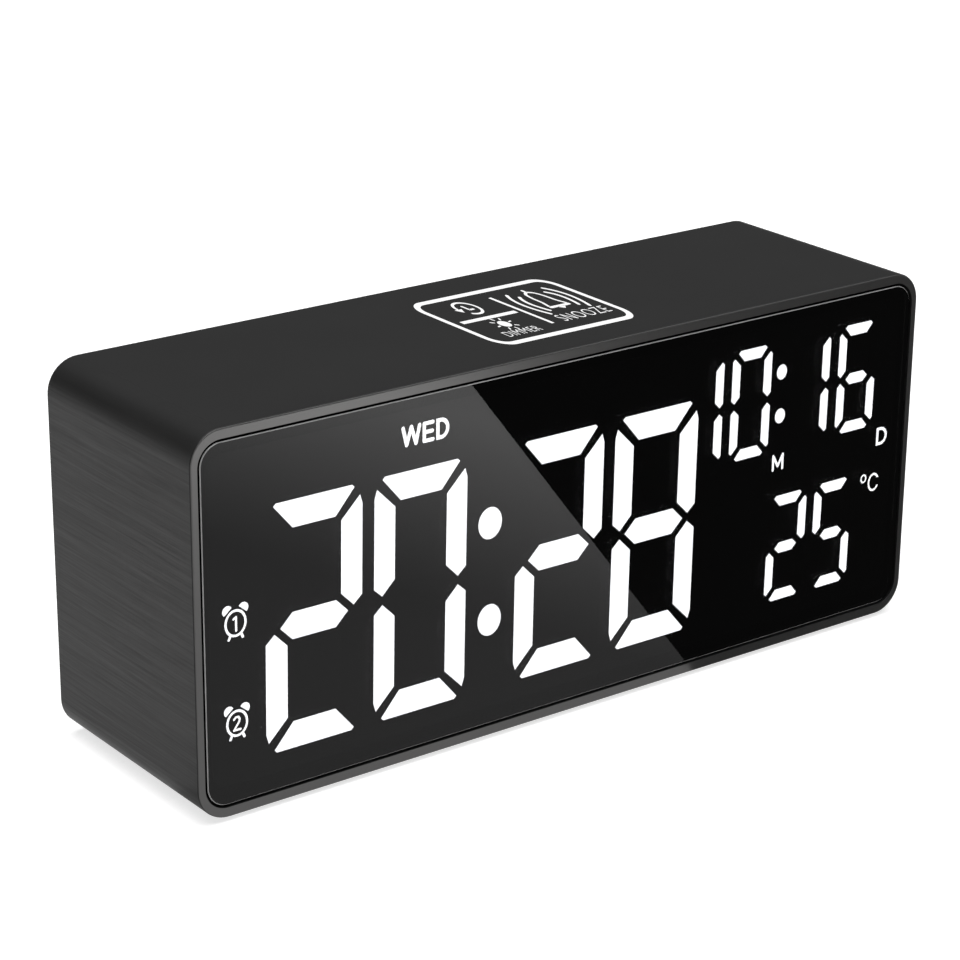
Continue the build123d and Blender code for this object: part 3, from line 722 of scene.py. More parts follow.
@dataclass(frozen=True)
class BoardFinish(Finish):
    """Circuit board: green solder mask over tracks, with bare pads.

    Attributes:
        pitch: Distance between pads in millimetres.
        pad: Where a pad's edge starts and ends, as shares of the pitch.
        mask: Solder mask on the bare board.
        track: Solder mask over copper.
        tin: Tinned pad.
    """

    pitch: float = 2.54
    pad: Point2 = (0.16, 0.19)
    mask: Colour = (0.012, 0.075, 0.03, 1.0)
    track: Colour = (0.02, 0.13, 0.05, 1.0)
    tin: Colour = (0.75, 0.72, 0.62, 1.0)

    def paint(self, paint: Painter) -> dict[str, Feed]:
        """Tracks from a stepped cell pattern, pads from a grid of dots in X and Z.

        Args:
            paint: Builder of this finish's nodes.

        Returns:
            What goes into the shader's sockets.
        """
        place = paint.coords()
        steps = {"Vector": paint.times(place, (1.0, 0.0, 1.0)), "Scale": 260.0}
        tracks = paint.add("TexBrick", steps | {"Mortar Size": 0.035}).outputs["Fac"]
        x, _, z = paint.axes(place)
        flat = paint.add("CombineXYZ", {0: x, 1: z}).outputs[0]
        pads = paint.band(paint.dots(flat, 1.0 / (self.pitch * MM), 0.0), self.pad, (1.0, 0.0))
        return {
            "Base Color": paint.mix(pads, paint.mix(tracks, self.mask, self.track), self.tin),
            "Metallic": paint.math("MULTIPLY", pads, 0.9),
            "Roughness": 0.3,
            "Normal": paint.bump(tracks, 0.03 * MM, 0.5),
        }


@dataclass(frozen=True)
class RibbonFinish(Finish):
    """Flat cable of grey cores side by side.

    Attributes:
        core: Distance from core to core in millimetres.
        relief: Depth between two cores in millimetres.
    """

    core: float = 1.2
    relief: float = 0.25

    def paint(self, paint: Painter) -> dict[str, Feed]:
        """Ridges from the sine of 2 pi x / core across the cable.

        Args:
            paint: Builder of this finish's nodes.

        Returns:
            What goes into the shader's sockets.
        """
        x, _, _ = paint.axes(paint.coords())
        ridge = paint.math("SINE", paint.math("MULTIPLY", x, 2.0 * math.pi / (self.core * MM)))
        shade = paint.band(ridge, (-1.0, 1.0))
        return {
            "Base Color": paint.mix(shade, grey(0.28), grey(0.48)),
            "Normal": paint.bump(shade, self.relief * MM),
            "Roughness": 0.45,
        }


@dataclass(frozen=True)
class FilmFinish(Finish):
    """Matt black film or tape behind the lens.

    Attributes:
        level: Its tone.
    """

    level: float = 0.002

    def paint(self, paint: Painter) -> dict[str, Feed]:
        """Near black with the faintest mottle and no gloss."""
        tone, _ = self.drift(paint, grey(self.level), 400.0, (0.8, 1.2))
        return {"Base Color": tone, "Roughness": 0.9, "Specular IOR Level": 0.0}


@dataclass(frozen=True)
class PaintedEdgeHighlight(Finish):
    """Narrow slanting edge round the lens's front, paler than its polished face: a painted
    highlight of the bevel catching light.

    Attributes:
        level: Tone of the painted highlight.
    """

    level: float = 0.32

    def paint(self, paint: Painter) -> dict[str, Feed]:
        """Soft pale grey as a painted highlight, with slight changes of tone and gloss.

        Args:
            paint: Builder of this finish's nodes.

        Returns:
            What goes into the shader's sockets.
        """
        tone, cloud = self.drift(paint, grey(self.level), 300.0, (0.9, 1.1))
        rough = paint.band(cloud, CLOUD_SPAN, (0.3, 0.4))
        return {"Base Color": tone, "Roughness": rough, "Specular IOR Level": 0.3}


@dataclass(frozen=True)
class InkFinish(Finish):
    """Screen-printed ink, a little thinner in fine spots.

    Attributes:
        level: Its tone where it covers fully.
    """

    level: float = 0.9

    def paint(self, paint: Painter) -> dict[str, Feed]:
        """Ink whose tone and relief follow a very fine grain.

        Args:
            paint: Builder of this finish's nodes.

        Returns:
            What goes into the shader's sockets.
        """
        grain, _ = self.effect(paint, Effect.GRAIN, Size=9000.0)
        cover = paint.band(grain, (0.0, 0.9), (1.0, 0.0))
        return {
            "Base Color": paint.mix(cover, grey(self.level * 0.9), grey(self.level)),
            "Roughness": 0.55,
            "Normal": paint.bump(grain, 0.004 * MM, 0.4),
        }


@dataclass(frozen=True)
class StageFinish(Finish):
    """Pale studio floor, lit softly from below as a product table is.

    Attributes:
        level: Its tone.
        glow: Light that it gives by itself.
    """

    level: float = 0.5
    glow: float = 0.72

    def paint(self, paint: Painter) -> dict[str, Feed]:
        """Even pale paper with the faintest tone change.

        Args:
            paint: Builder of this finish's nodes.

        Returns:
            What goes into the shader's sockets.
        """
        tone, _ = self.drift(paint, grey(self.level), 6.0, (0.995, 1.0))
        return {
            "Base Color": tone,
            "Emission Color": tone,
            "Emission Strength": self.glow / self.level,
            "Roughness": 0.9,
            "Specular IOR Level": 0.1,
        }


@dataclass(frozen=True)
class CardFinish(Finish):
    """Softly lit studio card that only reflections see.

    Attributes:
        near: Light from the card's near left part.
        far: Light from its far right part.
        strength: Light that a tone of one stands for.
        slant: How much of the distance towards the front counts as distance to the right.
        span: Where the light starts to grow and where it stops, in millimetres.
        curve: Power of the growth.
    """

    near: float = 0.026
    far: float = 0.026
    strength: float = 2.0
    slant: float = 0.35
    span: Point2 = (35.0, 135.0)
    curve: float = 1.3

    def paint(self, paint: Painter) -> dict[str, Feed]:
        """Light that grows from near to far as share ^ curve.

        The share is that of x - slant y within the span.

        Args:
            paint: Builder of this finish's nodes.

        Returns:
            What goes into the shader's sockets.
        """
        x, y, _ = paint.axes(paint.coords())
        reach = paint.math("SUBTRACT", x, paint.math("MULTIPLY", y, self.slant))
        share = paint.band(reach, (self.span[0] * MM, self.span[1] * MM))
        grown = paint.math("POWER", share, self.curve)
        return {
            "Emission Color": paint.mix(grown, grey(self.near), grey(self.far)),
            "Emission Strength": self.strength,
            "Base Color": grey(0.0),
            "Roughness": 1.0,
            "Specular IOR Level": 0.0,
        }


class Palette:
    """Every finish of the clock, by what it is on."""

    def __init__(self) -> None:
        """Set up the finishes; the rim's is measured from the housing's front."""
        low, _ = node_box("housing")
        fine = 5000.0
        self.shell = ShellFinish("shell_plastic", rim_back=float(low[1]) + 0.1 * MM)
        self.lens = SmokedAcrylic("smoked_acrylic")
        # Pale grey on the lens's bevel is a painted highlight.
        self.lens_edge = PaintedEdgeHighlight("painted_edge_highlight")
        self.glow = GlowFinish("lit_diffuser")
        self.dark_window = FilmFinish("dark_diffuser")
        self.film = FilmFinish("mask_film")
        self.tape = FilmFinish("adhesive_tape", level=0.003)
        self.reflector = MouldedPlastic("reflector_plastic", grey(0.8, 0.02))
        self.board = BoardFinish("circuit_board")
        self.led = MouldedPlastic("led_package", (0.85, 0.78, 0.35, 1.0), 0.4, 6000.0, 0.01)
        self.screw = MetalFinish("screw_steel", grey(0.22), 0.35)
        self.chip = MouldedPlastic("chip_package", grey(0.02), 0.45, fine, 0.01)
        self.can = MetalFinish("drawn_can", grey(0.66), 0.25)
        self.capacitor = MetalFinish("capacitor_sleeve", (0.3, 0.32, 0.38, 1.0), 0.35)
        self.black_part = MouldedPlastic("black_part", grey(0.015), 0.42, 4000.0, 0.008)
        self.cover = MouldedPlastic("cover_plastic", grey(0.022), 0.55, 2200.0, 0.02)
        self.button = MouldedPlastic("button_plastic", grey(0.03), 0.42, 5200.0, 0.006)
        self.plunger = MouldedPlastic("plunger_plastic", grey(0.55, 0.03), 0.45)
        self.rubber = MouldedPlastic("foot_rubber", grey(0.012), 0.8, 3600.0, 0.02)
        self.copper = MetalFinish("copper_foil", (0.75, 0.42, 0.26, 1.0), 0.3)
        self.red_wire = MouldedPlastic("red_insulation", (0.5, 0.02, 0.02, 1.0), 0.4, fine, 0.005)
        self.black_wire = MouldedPlastic("black_insulation", grey(0.015), 0.4, fine, 0.005)
        self.ribbon = RibbonFinish("ribbon_cable")
        self.nickel = MetalFinish("nickel_plate", grey(0.72), 0.2)
        self.bead = MouldedPlastic("thermistor_bead", (0.02, 0.07, 0.05, 1.0), 0.25, fine, 0.004)
        self.sleeve = MouldedPlastic("cell_sleeve", (0.02, 0.07, 0.2, 1.0), 0.25, 7000.0, 0.003)
        self.sleeve_band = MetalFinish("cell_band", (0.75, 0.5, 0.22, 1.0), 0.3)
        self.ink = InkFinish("white_ink")
        self.grey_ink = InkFinish("grey_ink", level=0.45)

    def wearers(self) -> list[tuple[Finish, tuple[str, ...]]]:
        """Say which CAD nodes wear which finish.

        Returns:
            Each finish with the names of the nodes that keep their shape and wear it.
        """
        lit = ("hour_segments", "minute_segments", "colon_dots", "month_segments",
               "day_segments", "date_dots", "temperature_segments", "weekday_legend",
               "unit_legends", "alarm_icons")
        return [
            (self.shell, ("housing",)),
            (self.lens, ("front_lens",)),
            (self.tape, ("lens_tape",)),
            (self.film, ("display_mask",)),
            (self.dark_window, ("unlit_segments",)),
            (self.glow, lit),
            (self.reflector, ("segment_reflector",)),
            (self.board, ("led_board", "main_board")),
            (self.led, ("led_chips",)),
            (self.screw, ("led_board_screws", "main_board_screws", "cover_screws")),
            (self.ribbon, ("ribbon_cable",)),
            (self.chip, ("microcontroller",)),
            (self.can, ("quartz_crystal",)),
            (self.capacitor, ("capacitors",)),
            (self.black_part, ("buzzer", "power_socket", "tact_switches")),
            (self.bead, ("thermistor",)),
            (self.copper, ("touch_electrode",)),
            (self.black_wire, ("touch_lead", "battery_lead_minus")),
            (self.red_wire, ("battery_lead_plus",)),
            (self.cover, ("rear_cover", "battery_door")),
            (self.nickel, ("positive_contacts",)),
            (self.rubber, ("rubber_feet",)),
            (self.button, tuple(f"{key}_button" for key in BUTTON_KEYS)),
            (self.plunger, tuple(f"{key}_plunger" for key in BUTTON_KEYS)),
        ]


def dress_nodes(palette: Palette) -> None:
    """Give every CAD node that keeps its shape its finish.

    Args:
        palette: The clock's finishes.
    """
    for finish, names in palette.wearers():
        for name in names:
            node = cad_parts[name]
            node.data.materials.clear()
            node.data.materials.append(finish.material())
            log.info("%s wears %s", name, finish.name)
    paint_lens_edge_highlight(palette.lens_edge)


def paint_lens_edge_highlight(finish: Finish, slant: Point2 = (0.3, 0.95)) -> None:
    """Give the slanting faces round the lens's front a pale finish, a painted highlight.

    Args:
        finish: The pale finish that paints the bevel's highlight.
        slant: Least and greatest forward part of a slanting face's normal.
    """
    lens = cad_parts["front_lens"].data
    lens.materials.append(finish.material())
    normals = np.empty(len(lens.polygons) * 3)
    lens.polygons.foreach_get("normal", normals)
    facing = -normals.reshape(-1, 3)[:, 1]
    slanting = (facing > slant[0]) & (facing < slant[1])
    # The slanting faces get the pale grey of the painted highlight.
    lens.polygons.foreach_set("material_index", slanting.astype(np.int32))
    log.info("front_lens: %d ground edge faces", int(slanting.sum()))


# ------------------------------------------------------------------------------------------------
# Printed ink
# ------------------------------------------------------------------------------------------------
@dataclass(frozen=True)
class PrintPlane:
    """A flat face that takes ink, with its own right, up and outward directions.

    Attributes:
        origin: Where the artwork's origin goes, in metres.
        right: Unit vector to the artwork's right.
        up: Unit vector to the artwork's top.
        tall: How much the artwork is stretched upwards.
        ink: Thickness of the ink in metres.
    """

    origin: Point3
    right: Point3
    up: Point3
    tall: float = 1.0
    ink: float = 0.02 * MM

    def lift(self, flat: np.ndarray, height: float) -> np.ndarray:
        """Take points of the artwork to their place.

        A point (x, y) goes to origin + x right + y tall up + height (right x up).

        Args:
            flat: Points in millimetres.
            height: Height over the face in metres.

        Returns:
            Points in metres.
        """
        right, up = np.array(self.right), np.array(self.up)
        across = flat[..., :1] * MM * right
        upward = flat[..., 1:] * MM * self.tall * up
        return np.array(self.origin) + across + upward + np.cross(right, up) * height

    def sheet(self, left: np.ndarray, right: np.ndarray, closed: bool) -> Solid:
        """Ink between two edge lines, as a thin closed shell.

        Args:
            left: Points of one edge in millimetres.
            right: As many points of the other edge.
            closed: Whether the lines are loops.

        Returns:
            The shell.
        """
        lines = ((left, 0.0), (right, 0.0), (right, self.ink), (left, self.ink))
        return swept_solid(np.stack([self.lift(*line) for line in lines], axis=1), closed)

    def patch(self, outline: np.ndarray) -> Solid:
        """Filled shape inside a convex outline."""
        return swept_solid(np.stack([self.lift(outline, 0.0), self.lift(outline, self.ink)]))


def arc(centre: Point2, radius: float, start: float, end: float, count: int = 40) -> np.ndarray:
    """Points centre + radius (cos a, sin a), with a running evenly from start to end in degrees."""
    angle = np.radians(np.linspace(start, end, count))
    return np.array(centre) + radius * np.stack([np.cos(angle), np.sin(angle)], axis=1)


def ring(centre: Point2, radius: float, count: int) -> np.ndarray:
    """Points of a full circle, the first of them not repeated at the end."""
    return arc(centre, radius, 0.0, 360.0 - 360.0 / count, count)


def run(*points: Point2, count: int = 16) -> np.ndarray:
    """Points along straight lines.

    Args:
        *points: Where the lines start, turn and end.
        count: Number of points on each line, its ends included.

    Returns:
        The points, a shared end once.
    """
    corners = np.array(points, dtype=float)
    share = np.linspace(0.0, 1.0, count)[:, None]
    legs = [a + (b - a) * share for a, b in zip(corners, corners[1:])]
    return np.concatenate([legs[0]] + [leg[1:] for leg in legs[1:]])


def bend(start: Point2, middle: Point2, end: Point2, count: int = 40) -> np.ndarray:
    """Curve (1 - t)^2 start + 2 t (1 - t) pull + t^2 end, with the pull that meets the middle.

    Args:
        start: Where it starts.
        middle: Where it is halfway.
        end: Where it ends.
        count: Number of points.

    Returns:
        The points.
    """
    a, m, b = (np.array(point, dtype=float) for point in (start, middle, end))
    pull = 2.0 * m - 0.5 * (a + b)
    t = np.linspace(0.0, 1.0, count)[:, None]
    return (1 - t) ** 2 * a + 2 * t * (1 - t) * pull + t**2 * b


def through(points: Sequence[Point2], count: int = 12) -> np.ndarray:
    """Smooth curve through the given points.

    Between two points p1 and p2, with p0 before and p3 after, the curve is half of
    2 p1 + (p2 - p0) t + (2 p0 - 5 p1 + 4 p2 - p3) t^2 + (3 p1 - p0 - 3 p2 + p3) t^3.

    Args:
        points: The points it passes.
        count: Number of points from one of them to the next, both included.

    Returns:
        The points, a shared end once.
    """
    given = np.array(points, dtype=float)
    line = np.concatenate([[2 * given[0] - given[1]], given, [2 * given[-1] - given[-2]]])
    t = np.linspace(0.0, 1.0, count)[:, None]
    legs = []
    for p0, p1, p2, p3 in zip(line, line[1:], line[2:], line[3:]):
        square, cube = 2 * p0 - 5 * p1 + 4 * p2 - p3, 3 * p1 - p0 - 3 * p2 + p3
        legs.append(0.5 * (2 * p1 + (p2 - p0) * t + square * t**2 + cube * t**3))
    return np.concatenate([legs[0]] + [leg[1:] for leg in legs[1:]])


def rounded_frame(half: Point2, radius: float, count: int = 14) -> np.ndarray:
    """Closed line of a rectangle with quarter-circle corners, about the artwork's origin.

    Args:
        half: Half its width and half its height.
        radius: Radius of its corners.
        count: Number of points on each corner.

    Returns:
        The points.
    """
    x, y = half[0] - radius, half[1] - radius
    turns = ((1, 1, 0), (-1, 1, 90), (-1, -1, 180), (1, -1, 270))
    return np.concatenate(
        [arc((sx * x, sy * y), radius, turn, turn + 90, count) for sx, sy, turn in turns]
    )


class Artwork:
    """Strokes, patches and words printed on one face, gathered into one piece."""

    TIP_START = 0.12
    TIP_POINTS = 7
    DISC_POINTS = 40
    LETTER_STEPS = 4
    LETTER_SPACING = 1.12
    SAME_POINT = 1e-4

    def __init__(self, plane: PrintPlane, finish: Finish) -> None:
        """Start with an empty face.

        Args:
            plane: The face.
            finish: The ink.
        """
        self.plane = plane
        self.finish = finish
        self.solids: list[Solid] = []

    def loop(self, path: np.ndarray, width: float) -> None:
        """Closed line of one width.

        The two edges lie half a width to each side of the path, along its own normal.

        Args:
            path: Points of the loop in millimetres.
            width: Width of the line.
        """
        ahead = np.roll(path, -1, axis=0) - np.roll(path, 1, axis=0)
        self._ink(path, ahead, np.full(len(path), width / 2), True)

    def stroke(self, path: np.ndarray, width: float) -> None:
        """Open line with round tips.

        The path is sampled again by length, closer near its tips. Half the width there is
        sqrt(h^2 - (h - s)^2), with h half the full width and s the distance from the tip, which
        draws a half circle.

        Args:
            path: Points of the line in millimetres.
            width: Width of the line.
        """
        half = width / 2
        steps = np.linalg.norm(np.diff(path, axis=0), axis=1)
        length = np.concatenate([[0.0], np.cumsum(steps)])
        tip = half * (1.0 - np.cos(np.linspace(self.TIP_START, np.pi / 2, self.TIP_POINTS)))
        middle = np.linspace(half, length[-1] - half, max(4, len(path)))[1:-1]
        at = np.concatenate([tip, middle, length[-1] - tip[::-1]])
        line = np.stack([np.interp(at, length, path[:, axis]) for axis in (0, 1)], axis=1)
        near = np.minimum(np.minimum(at, length[-1] - at), half)
        self._ink(line, np.gradient(line, axis=0), np.sqrt(half**2 - (half - near) ** 2), False)

    def _ink(self, path: np.ndarray, ahead: np.ndarray, halves: np.ndarray, closed: bool) -> None:
        """Lay ink between the two edges of a path.

        Args:
            path: Points of the path.
            ahead: Its direction at each point, of any length.
            halves: Half the width at each point.
            closed: Whether the path is a loop.
        """
        ahead = ahead / np.linalg.norm(ahead, axis=1, keepdims=True)
        side = np.stack([-ahead[:, 1], ahead[:, 0]], axis=1) * halves[:, None]
        self.solids.append(self.plane.sheet(path + side, path - side, closed))

    def fill(self, outline: Sequence[Point2]) -> None:
        """Filled convex shape."""
        self.solids.append(self.plane.patch(np.array(outline)))

    def bar(self, centre: Point2, width: float, height: float) -> None:
        """Filled upright rectangle."""
        x, y, w, h = *centre, width / 2, height / 2
        self.fill([(x - w, y - h), (x + w, y - h), (x + w, y + h), (x - w, y + h)])

    def disc(self, centre: Point2, radius: float) -> None:
        """Filled circle."""
        self.fill(ring(centre, radius, self.DISC_POINTS))

    def word(self, text: str, centre: Point2, size: Point2, weight: float = 0.02) -> None:
        """Capitals fitted to a box, from the plain built-in letters.

        Args:
            text: What it says.
            centre: Middle of the box, in millimetres.
            size: Width and height of the box.
            weight: How much the letters are thickened, as a share of their size.
        """
        curve = bpy.data.curves.new(text, "FONT")
        curve.body = text
        curve.offset = weight
        curve.resolution_u = self.LETTER_STEPS
        curve.space_character = self.LETTER_SPACING
        maker = bpy.data.objects.new(text, curve)
        bpy.context.scene.collection.objects.link(maker)
        drawn = maker.evaluated_get(bpy.context.evaluated_depsgraph_get())
        made = bpy.data.meshes.new_from_object(drawn)
        flat = np.empty(len(made.vertices) * 3)
        made.vertices.foreach_get("co", flat)
        flat = flat.reshape(-1, 3)[:, :2]
        low, high = flat.min(axis=0), flat.max(axis=0)
        fitted = (flat - (low + high) / 2) / (high - low) * np.array(size) + np.array(centre)
        self.solids.append(self._raised(made, fitted))
        bpy.data.objects.remove(maker)
        bpy.data.curves.remove(curve)
        bpy.data.meshes.remove(made)

    def _raised(self, flat_mesh: bpy.types.Mesh, fitted: np.ndarray) -> Solid:
        """Make a closed ink shell over a flat mesh.

        Its faces are laid once on the face and once on top of the ink, with a wall on each open
        edge.

        Args:
            flat_mesh: The flat mesh.
            fitted: Where its vertices go, in millimetres.

        Returns:
            The shell.
        """
        work = bmesh.new()
        work.from_mesh(flat_mesh)
        for vertex, spot in zip(work.verts, fitted):
            vertex.co = (spot[0], spot[1], 0.0)
        bmesh.ops.remove_doubles(work, verts=work.verts, dist=self.SAME_POINT)
        work.verts.index_update()
        count = len(work.verts)
        spots = np.array([vertex.co[:2] for vertex in work.verts])
        faces = [tuple(vertex.index for vertex in face.verts) for face in work.faces]
        walls = [[vertex.index for vertex in edge.verts] for edge in work.edges if edge.is_boundary]
        work.free()
        heights = (0.0, self.plane.ink)
        points = np.concatenate([self.plane.lift(spots, height) for height in heights])
        upper = [tuple(number + count for number in face) for face in faces]
        sides = [(a, b, b + count, a + count) for a, b in walls]
        return Solid(points, faces + upper + sides)

    def piece(self, name: str, body: str, slot: str) -> bpy.types.Object:
        """The finished print as one object."""
        material = self.finish.material()
        return make_piece(name, [(solid, material) for solid in self.solids], body)


@dataclass
class TopPrint:
    """White print of the touch area on the top, tall so that it reads from the front.

    Attributes:
        centre: Middle of the frame from the middle of the top, in millimetres.
        half: Half width and half height of the frame before the stretch.
        corner: Radius of the frame's corners.
        line: Width of the frame's line.
        tall: Stretch from front to back.
        thin: Width of the clock's and the bell's outlines.
        hand: Width of the clock's hands.
        ray: Width of the sun's rays.
        wave: Width of the sound waves and the bell's knob.
        foot: Width of the bell's lower edge.
        letter_weight: How much the letters are thickened; below nought they are thinned.
        slot: Name of a material slot, handed to the print piece, which does not use it.
    """

    centre: Point2 = (3.18, -1.0)
    half: Point2 = (15.05, 7.3)
    corner: float = 2.6
    line: float = 0.88
    tall: float = 1.9
    thin: float = 0.42
    hand: float = 0.4
    ray: float = 0.24
    wave: float = 0.5
    foot: float = 0.55
    letter_weight: float = -0.012
    slot: str = "housing_shell"

    def build(self, palette: Palette) -> None:
        """Print the frame and everything in it.

        Args:
            palette: The clock's finishes.
        """
        low, high = node_box("housing")
        middle = (low + high) / 2
        x, y = (middle[axis] + self.centre[axis] * MM for axis in (0, 1))
        plane = PrintPlane((x, y, float(high[2])), (1.0, 0.0, 0.0), (0.0, 1.0, 0.0), self.tall)
        art = Artwork(plane, palette.ink)
        art.loop(rounded_frame(self.half, self.corner), self.line)
        art.bar((-0.1, 0.25), 0.6, 9.8)
        art.bar((-7.3, 0.2), 12.0, 0.75)
        self.clock_sign(art, (-7.2, 3.65))
        self.sun_sign(art, (-7.4, -2.25))
        self.bell_sign(art, (7.4, 2.65))
        art.word("DIMMER", (-7.45, -4.95), (7.3, 1.5), self.letter_weight)
        art.word("SNOOZE", (7.85, -3.85), (10.7, 2.0), self.letter_weight)
        art.piece("top_print", ROOT_BODY, self.slot)

    def clock_sign(self, art: Artwork, centre: Point2, radius: float = 1.95) -> None:
        """Round arrow that turns back on itself, with two clock hands inside.

        Args:
            art: The print.
            centre: Middle of the round arrow.
            radius: Its radius.
        """
        x, y = centre
        art.stroke(arc(centre, radius, 180, -130, 60), self.thin)
        art.fill([(x - 2.7, y + 0.1), (x - 1.2, y + 0.1), (x - 1.95, y - 0.95)])
        hands = run((x - 0.2, y + 0.95), (x - 0.2, y - 0.5), (x + 0.8, y - 0.5))
        art.stroke(hands, self.hand)

    def sun_sign(self, art: Artwork, centre: Point2, rays: int = 8, turned: float = 12) -> None:
        """Disc with short rays.

        Args:
            art: The print.
            centre: Middle of the disc.
            rays: Number of rays.
            turned: Angle of the first ray in degrees.
        """
        art.disc(centre, 0.95)
        for turn in range(rays):
            angle = math.radians(360 // rays * turn + turned)
            way = np.array([math.cos(angle), math.sin(angle)])
            inner, outer = (tuple(np.array(centre) + way * reach) for reach in (1.3, 2.05))
            art.stroke(run(inner, outer, count=4), self.ray)

    def bell_sign(self, art: Artwork, centre: Point2) -> None:
        """Bell outline with its knob and clapper, and two sound waves on each side.

        Args:
            art: The print.
            centre: Middle of the bell.
        """
        x, y = centre
        wall = ((2.05, -3.1), (1.55, -1.6), (1.4, 0.0), (0.95, 1.3), (0.0, 1.95))
        inner = ((2.75, 1.1), (3.8, -1.1), (3.2, -4.2))
        outer = ((3.95, 2.3), (5.35, -1.0), (4.35, -5.1))
        for side in (-1, 1):
            half, *waves = ([(x + side * px, y + py) for px, py in line]
                            for line in (wall, inner, outer))
            art.stroke(through(half), self.thin)
            for wave in waves:
                art.stroke(bend(*wave), self.wave)
        art.stroke(run((x - 2.3, y - 3.3), (x + 2.3, y - 3.3)), self.foot)
        art.fill([(x - 0.9, y - 3.5), (x, y - 4.2), (x + 0.9, y - 3.5)])
        art.stroke(run((x, y + 2.0), (x, y + 2.75), count=4), self.wave)


@dataclass
class RearPrint:
    """Small grey signs on the rear cover and the battery door.

    Attributes:
        over_button: From the top of a button to the middle of its sign, in millimetres.
        over_socket: From the top of the power socket to the middle of its sign.
        on_door: Middle of the arrow, from the door's latch edge and from its middle height.
        line: Width of most lines.
        bold: Width of the clock face's rim and of the numeral one.
        slot: Name of a material slot, handed to each sign piece, which does not use it.
    """

    over_button: float = 3.6
    over_socket: float = 3.2
    on_door: Point2 = (5.0, 10.5)
    line: float = 0.3
    bold: float = 0.32
    slot: str = "cover_plastic"

    def build(self, palette: Palette) -> None:
        """Print a sign over each button and the socket, and an arrow on the door.

        Args:
            palette: The clock's finishes.
        """
        signs = (self.set_sign, self.up_sign, self.down_sign, self.alarm1_sign, self.alarm2_sign)
        for key, draw in zip(BUTTON_KEYS, signs):
            low, high = node_box(f"{key}_button")
            spot = (float((low + high)[0] / 2), float(high[2]) + self.over_button * MM)
            self.sign(palette, f"{key}_sign", spot, draw)
        low, high = node_box("power_socket")
        spot = (float((low + high)[0] / 2), float(high[2]) + self.over_socket * MM)
        self.sign(palette, "power_sign", spot, self.power_sign)
        low, high = node_box("battery_door")
        aside, upward = self.on_door
        spot = (float(low[0]) + aside * MM, float((low + high)[2] / 2) + upward * MM)
        self.sign(palette, "door_arrow", spot, self.door_arrow, LID_BODY)

    def sign(
        self,
        palette: Palette,
        name: str,
        spot: Point2,
        draw: Callable[[Artwork], None],
        body: str = ROOT_BODY,
    ) -> None:
        """Print one sign, upright as seen from behind.

        Args:
            palette: The clock's finishes.
            name: Name of the piece.
            spot: Its middle on the X and Z axes, in metres.
            draw: What draws it.
            body: CAD body that it moves with.
        """
        _, cover_high = node_box("rear_cover")
        origin = (spot[0], float(cover_high[1]), spot[1])
        art = Artwork(PrintPlane(origin, (-1.0, 0.0, 0.0), (0.0, 0.0, 1.0)), palette.grey_ink)
        draw(art)
        art.piece(name, body, self.slot)

    def set_sign(self, art: Artwork) -> None:
        """Clock face with two hands."""
        art.loop(ring((0, 0), 1.5, 60), self.bold)
        art.stroke(run((0, 0.9), (0, 0), (0.7, 0)), self.line)

    def up_sign(self, art: Artwork) -> None:
        """Triangle that points up."""
        art.fill([(-1.5, -1.1), (1.5, -1.1), (0, 1.4)])

    def down_sign(self, art: Artwork) -> None:
        """Triangle that points down."""
        art.fill([(-1.5, 1.1), (0, -1.4), (1.5, 1.1)])

    def bell(self, art: Artwork, centre: Point2 = (-0.9, 0.1)) -> None:
        """Small bell.

        Args:
            art: The print.
            centre: Its middle.
        """
        x, y = centre
        for side in (-1, 1):
            wall = bend((x + side * 1.15, y - 0.9), (x + side * 0.85, y + 0.3), (x, y + 1.2))
            art.stroke(wall, self.line)
        art.stroke(run((x - 1.35, y - 1.0), (x + 1.35, y - 1.0)), self.line)
        art.disc((x, y - 1.45), 0.28)

    def alarm1_sign(self, art: Artwork) -> None:
        """Bell and the numeral one."""
        self.bell(art)
        art.stroke(run((1.2, 0.45), (1.7, 0.85), (1.7, -1.2)), self.bold)

    def alarm2_sign(self, art: Artwork) -> None:
        """Bell and the numeral two."""
        self.bell(art)
        art.word("2", (1.7, -0.2), (1.3, 2.2))

    def power_sign(self, art: Artwork) -> None:
        """Direct current: a long line over three dashes.

        Args:
            art: The print.
        """
        art.stroke(run((-1.8, 0.5), (1.8, 0.5)), self.line)
        for x in (-1.3, 0.0, 1.3):
            art.stroke(run((x - 0.4, -0.3), (x + 0.4, -0.3), count=4), self.line)

    def door_arrow(self, art: Artwork) -> None:
        """Arrow that points to the side where the door opens."""
        art.bar((-0.6, 0.0), 2.4, 0.7)
        art.fill([(0.5, -1.0), (2.2, 0.0), (0.5, 1.0)])


# ------------------------------------------------------------------------------------------------
# Battery bay
# ------------------------------------------------------------------------------------------------
@dataclass(frozen=True)
class BayRows:
    """How the cells lie in the bay, one over the other.

    Attributes:
        rows: Number of cells.
        pitch: Distance from one cell's axis to the next, in millimetres.
        length: Length of a cell.
    """

    rows: int = 3
    pitch: float = 11.2
    length: float = 44.5

    def places(self) -> list[tuple[float, float]]:
        """Say where each cell lies.

        Returns:
            For each cell its height over the middle one, in metres, and the way along X in which
            it runs from its nub: -1 for the middle one and +1 for the others.
        """
        offsets = [row - (self.rows - 1) / 2 for row in range(self.rows)]
        return [(offset * self.pitch * MM, -1.0 if offset == 0 else 1.0) for offset in offsets]


